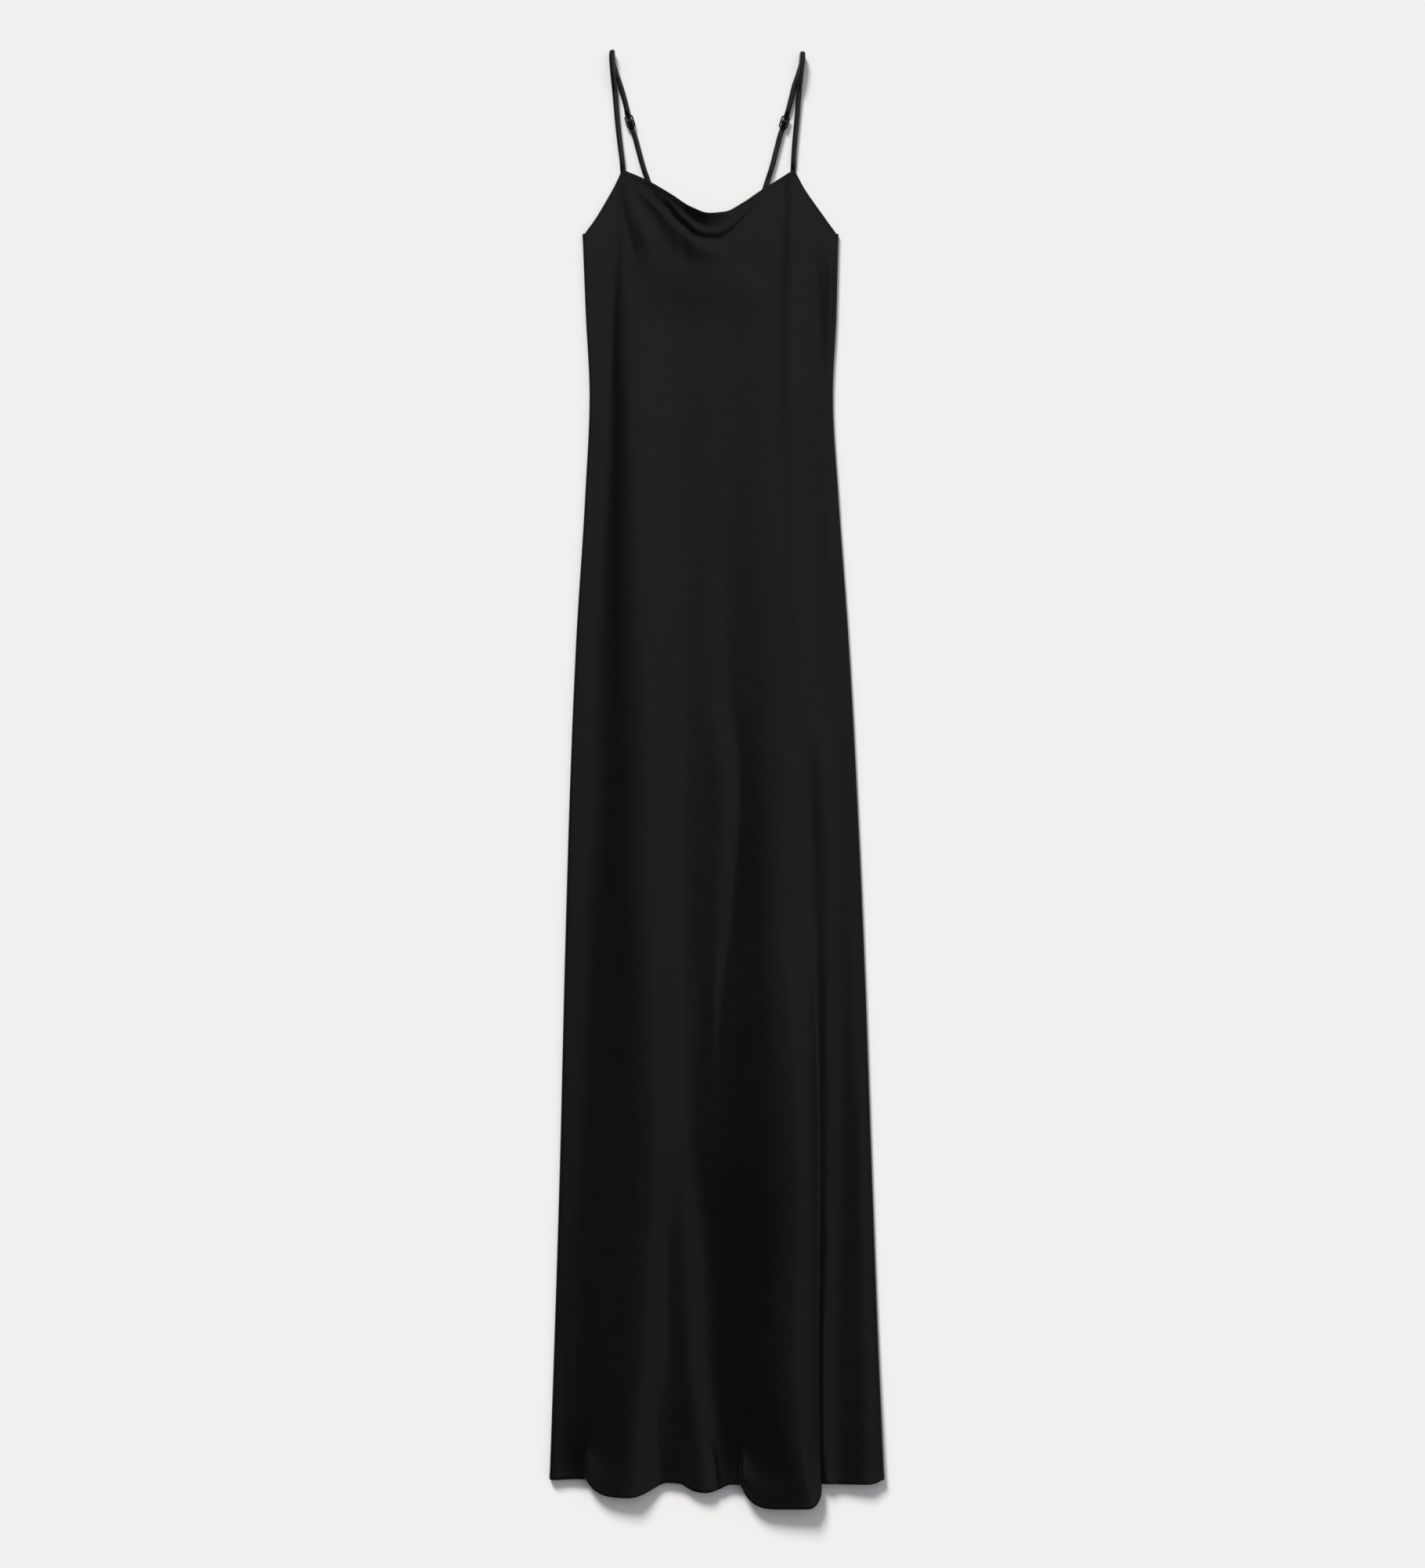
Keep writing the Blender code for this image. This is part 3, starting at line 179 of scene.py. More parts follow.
# The top edge's own roll, deepest at the middle of the neckline.
NECK_ROLL = dict(
    x=(-60.0, -46.0, -37.0, -27.5, -18.0, -9.0, 0.0, 6.0, 10.0, 15.0),
    height=(0.0, 0.1, 0.4, 1.6, 2.7, 3.1, 2.6, 1.6, 0.6, 0.0),
    width=(8.0, 8.0, 9.0, 12.0, 13.5, 13.5, 13.0, 12.0, 10.0, 9.0),
)

STRAP_LEFT = dict(
    x=(-91.6, -92.9, -93.6, -95.3, -98.4, -100.8, -102.0, -103.1, -103.9, -103.6, -103.4, -103.3,
       -103.1, -100.0, -95.3, -93.0, -89.1, -86.0, -82.2, -77.9, -72.5, -67.8, -60.8, -55.9, -53.9, -51.4),
    down=(130.5, 120.0, 110.0, 96.9, 69.8, 42.6, 31.0, 19.3, 6.2, 2.1, 1.1, 2.2,
          8.8, 20.9, 34.9, 42.6, 58.1, 70.1, 81.4, 96.9, 116.3, 129.4, 156.6, 175.0, 183.5, 194.5),
    z=(0.95, 0.95, 2.15, 2.15, 2.15, 2.7, 5.1, 6.7, 6.95, 6.2, 4.6, 3.0,
       2.15, 2.15, 2.15, 2.15, 2.15, 5.4, 2.15, 2.15, 2.15, 1.45, 1.55, 2.0, 3.55, 3.75),
    high=(0.85, 0.9, 2.3, 2.3, 2.3, 2.3, 2.3, 2.3, 2.3, 2.2, 2.1, 2.2,
          2.3, 2.3, 2.3, 2.3, 2.3, 0.8, 2.3, 2.3, 2.3, 1.45, 1.5, 1.6, 0.9, 0.8),
)
STRAP_RIGHT = dict(
    x=(74.2, 75.5, 75.9, 76.7, 79.1, 81.4, 82.5, 83.8, 85.0, 84.9, 84.8, 84.6,
       84.1, 81.0, 76.7, 74.8, 70.9, 66.9, 63.4, 59.3, 54.2, 49.9, 41.5, 36.9, 35.5, 33.6),
    down=(130.5, 120.0, 110.0, 96.9, 69.8, 42.6, 31.0, 19.3, 7.7, 3.6, 2.6, 3.7,
          10.3, 22.4, 34.9, 42.6, 58.1, 70.9, 81.4, 96.9, 116.3, 129.4, 156.6, 175.0, 183.5, 194.5),
    z=(0.95, 0.95, 2.15, 2.15, 2.15, 2.7, 5.1, 6.7, 6.95, 6.2, 4.6, 3.0,
       2.15, 2.15, 2.15, 2.15, 2.15, 5.4, 2.15, 2.15, 2.15, 1.45, 1.55, 2.0, 3.15, 3.05),
    high=STRAP_LEFT["high"],
)
SLIDER_LENGTH, SLIDER_WIDTH, SLIDER_BAR = 12.8, 8.6, 1.5
SLIDER_Z, SLIDER_THICK = 3.1, 1.0
SLIDER_THREAD = dict(
    along=(-8.9, -5.3, -2.7, 0.0, 2.7, 5.3, 8.9),
    z=(1.7, 0.88, 3.15, 5.5, 3.15, 0.88, 1.7),
    high=(1.6, 0.72, 0.72, 0.75, 0.72, 0.72, 1.6),
)

# ---------------------------------------------------------------- finer folds, only in the looks
# Each crease is a ridge whose crest follows a line through four places, with a flank to its left
# and one to its right that widen or narrow on the way; a height below nought makes it a trough.
CREASES = dict(
    name=("pull_left", "pull_line", "arm_right", "mid_1", "mid_4",
          "crease", "b_twin", "nick_1", "nick_2", "nick_3"),
    x0=(-92.5, -88.0, 116.5, -30.5, 108.0, 110.0, -9.0, 94.0, 120.0, -50.5),
    x1=(-78.5, -79.5, 117.0, -31.0, 109.5, 109.8, -4.5, 87.0, 116.0, -54.0),
    x2=(-60.5, -72.5, 116.0, -31.5, 110.5, 109.0, -2.0, 80.0, 112.5, -57.5),
    x3=(-44.0, -60.0, 114.0, -31.0, 111.0, 108.0, 0.5, 73.0, 109.0, -60.0),
    d0=(122.0, 138.0, 165.0, 380.0, 380.0, 1180.0, 1362.0, 1170.0, 1088.0, 1382.0),
    d1=(160.0, 158.0, 200.0, 430.0, 440.0, 1250.0, 1380.0, 1182.0, 1096.0, 1390.0),
    d2=(200.0, 180.0, 260.0, 470.0, 500.0, 1330.0, 1400.0, 1194.0, 1104.0, 1398.0),
    d3=(272.0, 222.0, 350.0, 520.0, 560.0, 1408.0, 1425.0, 1205.0, 1112.0, 1406.0),
    height=(2.6, 0.2, 2.4, 0.35, 0.35, -0.5, -1.3, -0.22, -0.2, -0.25),
    left0=(4.0, 4.0, 24.0, 11.0, 9.0, 4.0, 4.0, 2.5, 2.5, 2.0),
    left1=(44.0, 6.0, 9.0, 11.0, 9.0, 4.0, 5.0, 2.5, 2.5, 2.0),
    right0=(12.0, 3.0, 6.0, 12.0, 6.0, 4.0, 4.0, 2.5, 2.5, 2.0),
    right1=(150.0, 5.0, 6.0, 12.0, 6.0, 4.0, 5.0, 2.5, 2.5, 2.0),
    steep_from=(0.15, 0.3, 0.2, 0.4, 0.4, 0.4, 0.4, 0.4, 0.4, 0.4),
    steep_to=(0.45, 0.6, 0.85, 0.6, 0.6, 0.6, 0.6, 0.6, 0.6, 0.6),
    fade_in=(0.50, 0.3, 0.30, 0.4, 0.4, 0.4, 0.4, 0.5, 0.5, 0.5),
    fade_out=(0.40, 0.5, 0.55, 0.4, 0.4, 0.05, 0.02, 0.5, 0.5, 0.5),
)

# ---------------------------------------------------------------- shape functions


def curve_through(stations, values, at):
    """A smooth curve through a table's column, which never overshoots a row."""
    s, v = np.asarray(stations, float), np.asarray(values, float)
    step = np.diff(s)
    slope = np.diff(v) / step
    same_way = slope[:-1] * slope[1:] > 0
    before = np.where(same_way, slope[:-1], 1.0)
    after = np.where(same_way, slope[1:], 1.0)
    weight_before, weight_after = 2 * step[1:] + step[:-1], step[1:] + 2 * step[:-1]
    mean = (weight_before + weight_after) / (weight_before / before + weight_after / after)
    inner = np.where(same_way, mean, 0.0)
    lean = np.concatenate([[slope[0]], inner, [slope[-1]]])
    at = np.clip(np.asarray(at, float), s[0], s[-1])
    i = np.clip(np.searchsorted(s, at, "right") - 1, 0, len(s) - 2)
    h = step[i]
    t = (at - s[i]) / h
    return (
        (1 + 2 * t) * (1 - t) ** 2 * v[i]
        + t * (1 - t) ** 2 * h * lean[i]
        + t * t * (3 - 2 * t) * v[i + 1]
        + t * t * (t - 1) * h * lean[i + 1]
    )


def column(table, name, at, key="down"):
    return curve_through(table[key], table[name], at)


def ease(t):
    t = np.clip(t, 0.0, 1.0)
    return t * t * (3 - 2 * t)


def bump(t, square=2.0):
    return (1 - np.minimum(np.abs(t), 1.0) ** square) ** 2


def flank(t, start, stop):
    """A side's rise from its foot (t = 0) to its crest (t = 1): steepest between start and stop."""
    t = np.clip(t, 0.0, 1.0)
    area = (1 + stop - start) / 2
    low = t * t / (2 * start)
    even = start / 2 + (t - start)
    high = area - (1 - t) ** 2 / (2 * (1 - stop))
    return np.where(t < start, low, np.where(t < stop, even, high)) / area


def neckline(x):
    return curve_through(NECKLINE["x"], NECKLINE["down"], x)


def front_top(x):
    left, right = SECTIONS["left"][0], SECTIONS["right"][0]
    neck_left, neck_right = NECKLINE["x"][0], NECKLINE["x"][-1]
    start = NECKLINE["down"][0]
    way_left = (neck_left - x) / (neck_left - left)
    way_right = (x - neck_right) / (right - neck_right)
    arm_left = start + (ARMHOLE_END - start) * way_left + column(ARMHOLES, "left", way_left, "way")
    arm_right = start + (ARMHOLE_END - start) * way_right + column(ARMHOLES, "right", way_right, "way")
    return np.where(x < neck_left, arm_left, np.where(x > neck_right, arm_right, neckline(x)))


def flute_line(name, down):
    if name == "right":
        return column(SECTIONS, "right", down) - 3.0
    return column(FLUTE_LINES, name, down)


def flutes(x, down):
    height = np.zeros_like(x)
    across = np.zeros_like(x)
    hang = np.zeros_like(x)
    near_hem = ease((down - 1180.0) / (HEM - 1180.0))
    at_hem = ease((down - (HEM - 40.0)) / 32.0)
    for i, name in enumerate(FLUTES["name"]):
        foot, crest, end = (flute_line(FLUTES[k][i], down) for k in ("foot", "crest", "end"))
        start, stop = (column(FLUTE_SIDES, f"{name}_{k}", down) for k in ("from", "to"))
        lips = [FLUTES[k][i] for k in ("lip_left", "lip_middle", "lip_right")]
        left = flank(1 - (crest - x) / (crest - foot), start, stop)
        wall = FLUTES["lip_wall"][i] * at_hem
        left = left * (1 - wall) + wall * ease((x - lips[0]) / 2.6)
        right = flank(1 - (x - crest) / (end - crest), FLUTES["right_from"][i], FLUTES["right_to"][i])
        shape = np.where(x < crest, left, right)
        height += column(FLUTE_HEIGHTS, name, down) * shape
        on_left = x < lips[1]
        t = np.where(on_left, (lips[1] - x) / (lips[1] - lips[0]), (x - lips[1]) / (lips[2] - lips[1]))
        square = np.where(on_left, FLUTES["square_left"][i], FLUTES["square_right"][i])
        lobe = bump(t, 2.0 + (square - 2.0) * near_hem)
        hang += FLUTES["hang"][i] * lobe * near_hem**3
        bulge = np.where(on_left, -FLUTES["bulge_left"][i], FLUTES["bulge_right"][i])
        across += bulge * 4 * lobe * (1 - lobe) * near_hem**2
    return height, across, hang


def cowl(x, down):
    """The neckline's roll and the steps that hang below it."""
    below_edge = down - neckline(x)
    roll, width = column(NECK_ROLL, "height", x, "x"), column(NECK_ROLL, "width", x, "x")
    height = roll * flank(1 - below_edge / width, 0.2, 0.85)
    for fold in (COWL_FIRST, COWL_SECOND):
        crest = column(fold, "down", x, "x")
        slope = (column(fold, "down", x + 1.0, "x") - column(fold, "down", x - 1.0, "x")) / 2.0
        off = (down - crest) / np.sqrt(1 + slope * slope)
        shape = flank(1 - off / column(fold, "below", x, "x"), fold["steep_from"], fold["steep_to"])
        height += column(fold, "height", x, "x") * shape
    return height


def creases(x, down):
    total = np.zeros_like(x)
    for i in range(len(CREASES["name"])):
        stations = [CREASES[k][i] for k in ("d0", "d1", "d2", "d3")]
        line = curve_through(stations, [CREASES[k][i] for k in ("x0", "x1", "x2", "x3")], down)
        run = (down - stations[0]) / (stations[3] - stations[0])
        strength = ease(run / CREASES["fade_in"][i]) * ease((1 - run) / CREASES["fade_out"][i])
        strength = np.where((run > 0) & (run < 1), strength, 0.0)
        widths = [CREASES[k][i] for k in ("left0", "left1", "right0", "right1")]
        run = np.clip(run, 0, 1)
        reach = np.where(x < line, widths[0] + (widths[1] - widths[0]) * run, widths[2] + (widths[3] - widths[2]) * run)
        t = np.abs(x - line) / reach
        total += CREASES["height"][i] * strength * flank(1 - t, CREASES["steep_from"][i], CREASES["steep_to"][i])
    edge_left, edge_right = column(SECTIONS, "left", down) + 2.0, column(SECTIONS, "right", down) - 2.0
    return total * ease(np.minimum(x - edge_left, edge_right - x) / 5.0)


def front_height(x, down):
    """How high the cloth lies over the layers beneath it: at each side fold, where the left one
    rolls up a little, and between them."""
    left, middle, right = (column(LAYERS, k, down) for k in ("left", "middle", "right"))
    start = column(LAYERS, "step_at", down)
    near_left = 1 - ease((x - column(SECTIONS, "left", down) - start) / STEP_RUN)
    near_right = 1 - ease((column(SECTIONS, "right", down) - x - start) / STEP_RUN)
    inwards = (x - column(SECTIONS, "left", down) - 2.2) / ROLL_WIDTH
    roll = column(LAYERS, "roll", down) * flank(1 - inwards, 0.25, 0.75)
    return middle + (left - middle) * near_left + (right - middle) * near_right + roll


def folded(c, x_fold, down, side, radius, top_z, low_z):
    under = column(SECTIONS, "under", down)
    turn = np.pi * (np.clip(c, 1, 2) - 1.5)
    half = (top_z - low_z) / 2
    x = x_fold + side * radius * np.cos(turn)
    z = low_z + half * (1 + np.sin(turn))
    strip = np.clip(1 - c, 0, 1)
    x = np.where(c < 1, x_fold - side * strip * under, x)
    z = np.where(c < 1, low_z, z)
    return x, z


def front_point(c, v):
    names = ("left", "left_1", "a_crest", "a_end", "mid_1", "mid_2", "c_crest", "c_end",
             "d_crest", "right_1", "right_2", "right")
    first, last = 2.0, 13.0
    edge = FRONT_FOLD_RADIUS + THIN / 2

    def across(down):
        rows = [column(SECTIONS, "left", down) + edge]
        for n in names[1:-1]:
            if n.startswith("right_"):
                share = 0.40 if n == "right_1" else 0.72
                near, far = column(FLUTE_LINES, "d_crest", down), column(SECTIONS, "right", down) - edge
                rows += [near + (far - near) * share]
            else:
                rows += [column(FLUTE_LINES, n, down)]
        rows += [column(SECTIONS, "right", down) - edge]
        rows = np.stack(rows)
        k = np.clip(c - first, 0, last - first)
        i = np.minimum(k.astype(int), len(names) - 2)
        low = np.take_along_axis(rows, i[None], 0)[0]
        high = np.take_along_axis(rows, i[None] + 1, 0)[0]
        return low + (high - low) * (k - i)

    top_x = across(np.full_like(c, ARMHOLE_END))
    top = front_top(top_x)
    strip = np.clip(np.maximum(1 - c, c - 14), 0, 1)
    top = np.where(strip > 0, ARMHOLE_END + UNDERARM_DROP * (1 - (1 - strip) ** 2.2), top)
    inside = (c >= first) & (c <= last)
    end = HEM + np.where(inside, curve_through(HEM_LINE["x"], HEM_LINE["lower"], across(np.full_like(c, HEM))), 0.0)
    end = np.where(strip > 0, end + (UNDERSIDE_HEM - HEM) * strip, end)
    down = top + (end - top) * v
    x = across(down)
    low_z = WALL / 2
    z = front_height(x, down)
    height, sideways, hang = flutes(x, down)
    height = height + cowl(x, down) + creases(x, down)
    for side, at in ((-1, c), (1, 15 - c)):
        x_fold = column(SECTIONS, "left" if side < 0 else "right", down) - side * edge
        top_z = column(LAYERS, "left", down) + column(LAYERS, "roll", down) if side < 0 else column(LAYERS, "right", down)
        fx, fz = folded(at, x_fold, down, side, FRONT_FOLD_RADIUS, top_z, low_z)
        here = at < 2
        x = np.where(here, fx, x)
        z = np.where(here, fz, z)
        height, sideways, hang = (np.where(here, 0.0, w) for w in (height, sideways, hang))
    return np.stack([x + sideways, down + hang, z + height], axis=-1)


def back_point(c, v):
    edge = FRONT_FOLD_RADIUS + THIN / 2 + BACK_FOLD_INSET
    first, last = 2.0, 7.0
    low_z, high_z = 1.5 * WALL + SEAM_GAP, 2.5 * WALL + 2 * SEAM_GAP

    def across(down):
        left, right = column(SECTIONS, "left", down), column(SECTIONS, "right", down)
        step = column(LAYERS, "step_at", np.maximum(down, 300.0))
        rows = np.stack([left + edge, left + step, left + step + BACK_STEP_RUN,
                         right - step - BACK_STEP_RUN, right - step, right - edge])
        k = np.clip(c - first, 0, last - first)
        i = np.minimum(k.astype(int), 4)
        low = np.take_along_axis(rows, i[None], 0)[0]
        high = np.take_along_axis(rows, i[None] + 1, 0)[0]
        return low + (high - low) * (k - i)

    top_x = across(np.full_like(c, BACK_TOP))
    half = 0.5 * (SECTIONS["right"][0] - SECTIONS["left"][0])
    t = (top_x - 0.5 * (SECTIONS["right"][0] + SECTIONS["left"][0])) / half
    top = BACK_TOP + BACK_DIP * bump(t / 0.5) + 6.0 * ease((np.abs(t) - 0.4) / 0.6)
    strip = np.clip(np.maximum(1 - c, c - 8), 0, 1)
    top = np.where(strip > 0, BACK_TOP + 6.0 + (ARMHOLE_END + UNDERARM_DROP - BACK_TOP - 6.0) * strip, top)
    down = top + (UNDERSIDE_HEM - top) * v
    x = across(down)
    inwards = np.minimum(x - column(SECTIONS, "left", down), column(SECTIONS, "right", down) - x)
    away = ease((inwards - column(LAYERS, "step_at", np.maximum(down, 300.0))) / BACK_STEP_RUN)
    z = high_z + (WALL / 2 - high_z) * away
    for side, at in ((-1, c), (1, 9 - c)):
        x_fold = column(SECTIONS, "left" if side < 0 else "right", down) - side * edge
        fx, fz = folded(at, x_fold, down, side, BACK_FOLD_RADIUS, np.full_like(c, high_z), low_z)
        fx = np.where(at < 1, fx + side * (1 - np.clip(at, 0, 1)) * BACK_FOLD_INSET, fx)
        here = at < 2
        x = np.where(here, fx, x)
        z = np.where(here, fz, z)
    return np.stack([x, down, z], axis=-1)


def normals(point, c, v, c_end):
    small_c, small_v = 1e-3, 2e-4
    dc = point(np.minimum(c + small_c, c_end), v) - point(np.maximum(c - small_c, 0), v)
    dv = point(c, np.minimum(v + small_v, 1)) - point(c, np.maximum(v - small_v, 0))
    n = np.cross(dc, dv)
    return n / np.linalg.norm(n, axis=-1, keepdims=True)


def to_world(points):
    out = np.array(points, float)
    out[..., 0] = points[..., 0] * MM
    out[..., 1] = (MIDDLE - points[..., 1]) * MM
    out[..., 2] = points[..., 2] * MM
    return out


# ---------------------------------------------------------------- mesh helpers


def make_object(name, verts, faces, materials, smooth=True, uv=None, face_slots=None):
    mesh = bpy.data.meshes.new(name)
    mesh.from_pydata(np.asarray(verts).tolist(), [], faces)
    for m in materials:
        mesh.materials.append(m)
    if face_slots is not None:
        mesh.polygons.foreach_set("material_index", np.asarray(face_slots, np.int32))
    if uv is not None:
        layer = mesh.uv_layers.new(name="cloth")
        loops = np.empty(len(mesh.loops), np.int32)
        mesh.loops.foreach_get("vertex_index", loops)
        layer.data.foreach_set("uv", np.asarray(uv, np.float32)[loops].ravel())
    mesh.update()
    if smooth:
        mesh.shade_smooth()
    obj = bpy.data.objects.new(name, mesh)
    bpy.context.scene.collection.objects.link(obj)
    return obj


def spread(stops):
    """Row stations from (where, spacing) stops: the spacing changes evenly from stop to stop."""
    out = [stops[0][0]]
    where, gap = zip(*stops)
    while out[-1] < where[-1]:
        out.append(out[-1] + float(np.interp(out[-1], where, gap)))
    out = np.array(out)
    return out / out[-1]


def cloth_wall(name, point, across, crowd, rows, materials, thin, hem_band):
    """A closed thin wall on a panel's middle surface, thicker along its turned and stitched edges.

    crowd names the stretches whose columns stand closer at their start (above 1) or end (below -1)."""
    cs = []
    for k, n in enumerate(across):
        power = crowd.get(k, 1.0)
        for j in range(n):
            t = j / n
            cs.append(k + (t**power if power > 0 else 1 - (1 - t) ** -power))
    cs.append(len(across))
    c, v = np.meshgrid(np.array(cs, float), rows)
    middle = point(c, v)
    n = normals(point, c, v, len(across))
    # cloth coordinates: along the threads' girth and down the length, in metres
    dx = np.linalg.norm(np.diff(middle[:, :, [0, 2]], axis=1), axis=2)
    girth = np.concatenate([np.zeros((len(rows), 1)), np.cumsum(dx, axis=1)], axis=1)
    girth -= girth[:, len(cs) // 2][:, None]
    uv = np.stack([girth, middle[..., 1]], axis=-1) * MM
    # distance from the top edge and from the hem
    from_top = middle[..., 1] - middle[:1, :, 1]
    from_hem = middle[-1:, :, 1] - middle[..., 1]
    thick = np.full(c.shape, thin)
    for off, band in ((from_top, hem_band[0]), (from_hem, hem_band[1])):
        inside = ease((band + 0.9 - off) / 0.9)
        thick = thick + (0.92 - thin) * inside * (1 - 0.25 * np.exp(-(((off - band + 0.6) / 0.55) ** 2)))
    thick = np.minimum(thick, 0.95)
    outer = to_world(middle + n * thick[..., None] / 2).reshape(-1, 3)
    inner = to_world(middle - n * thick[..., None] / 2).reshape(-1, 3)
    r, k = c.shape
    total = r * k
    i, j = np.meshgrid(np.arange(r - 1), np.arange(k - 1), indexing="ij")
    a = (i * k + j).ravel()
    quads = np.stack([a, a + k, a + k + 1, a + 1], axis=1)
    faces = np.concatenate([quads, quads[:, ::-1] + total])
    slots = np.concatenate([np.zeros(len(quads)), np.ones(len(quads))])
    ring = np.concatenate([
        np.arange(k - 1), np.arange(r - 1) * k + k - 1,
        (r - 1) * k + np.arange(k - 1, 0, -1), np.arange(r - 1, 0, -1) * k])
    after = np.roll(ring, -1)
    rim = np.stack([ring, after, after + total, ring + total], axis=1)
    faces = np.concatenate([faces, rim])
    slots = np.concatenate([slots, np.zeros(len(rim))])
    obj = make_object(name, np.concatenate([outer, inner]), faces.tolist(), materials,
                      uv=np.concatenate([uv.reshape(-1, 2)] * 2), face_slots=slots)
    # the cut's area: each patch of the middle surface, measured flat
    p = to_world(middle)
    e1, e2 = p[1:, 1:] - p[:-1, :-1], p[1:, :-1] - p[:-1, 1:]
    area = float(np.linalg.norm(np.cross(e1, e2), axis=-1).sum() / 2)
    size = (float(girth.max() - girth.min()) * MM, float(np.ptp(middle[..., 1])) * MM, area)
    return obj, dict(c=c, v=v, middle=middle, normal=n, thick=thick, size=size)


def stitches(name, points, ups, length, gap, radius, mat, lift=0.0):
    """Short rounded stitches along a line on the cloth. points and ups are in millimetres, down frame."""
    p = np.asarray(points, float)
    reach = np.concatenate([[0], np.cumsum(np.linalg.norm(np.diff(p, axis=0), axis=1))])
    at = np.arange(gap, reach[-1] - gap, length + gap)
    verts, faces = [], []
    ring = 5
    prof = ((-0.5, 0.35, -0.55), (-0.32, 0.9, 0.1), (0.0, 1.0, 0.45), (0.32, 0.9, 0.1), (0.5, 0.35, -0.55))
    for s in at:
        mid = np.array([np.interp(s, reach, p[:, m]) for m in range(3)])
        end = np.array([np.interp(s + 0.5, reach, p[:, m]) for m in range(3)])
        up = np.array([np.interp(s, reach, np.asarray(ups)[:, m]) for m in range(3)])
        t = (end - mid) / max(np.linalg.norm(end - mid), 1e-9)
        side = np.cross(up, t)
        side /= np.linalg.norm(side)
        base = len(verts)
        for along, size, high in prof:
            centre = mid + t * along * length + up * (lift + radius * high)
            for m in range(ring):
                turn = TAU * m / ring
                verts.append(centre + radius * size * (side * math.cos(turn) + up * 0.7 * math.sin(turn)))
        for q in range(len(prof) - 1):
            for m in range(ring):
                n = (m + 1) % ring
                a, b = base + q * ring + m, base + q * ring + n
                faces.append((a, b, b + ring, a + ring))
        faces.append(tuple(base + m for m in range(ring))[::-1])
        last = base + (len(prof) - 1) * ring
        faces.append(tuple(last + m for m in range(ring)))
    verts = np.array(verts)
    verts[:, 2] = np.maximum(verts[:, 2], 0.01)
    return make_object(name, to_world(verts), faces, [mat])


# ---------------------------------------------------------------- materials


def new_material(name):
    mat = bpy.data.materials.new(name)
    mat.use_nodes = True
    tree = mat.node_tree
    tree.nodes.clear()
    out = tree.nodes.new("ShaderNodeOutputMaterial")
    shader = tree.nodes.new("ShaderNodeBsdfPrincipled")
    tree.links.new(shader.outputs["BSDF"], out.inputs["Surface"])
    return mat, tree, shader


def node(tree, kind, **values):
    made = tree.nodes.new(kind)
    for key, value in values.items():
        if key.startswith("in_"):
            made.inputs[key[3:].replace("_", " ")].default_value = value
        else:
            setattr(made, key, value)
    return made


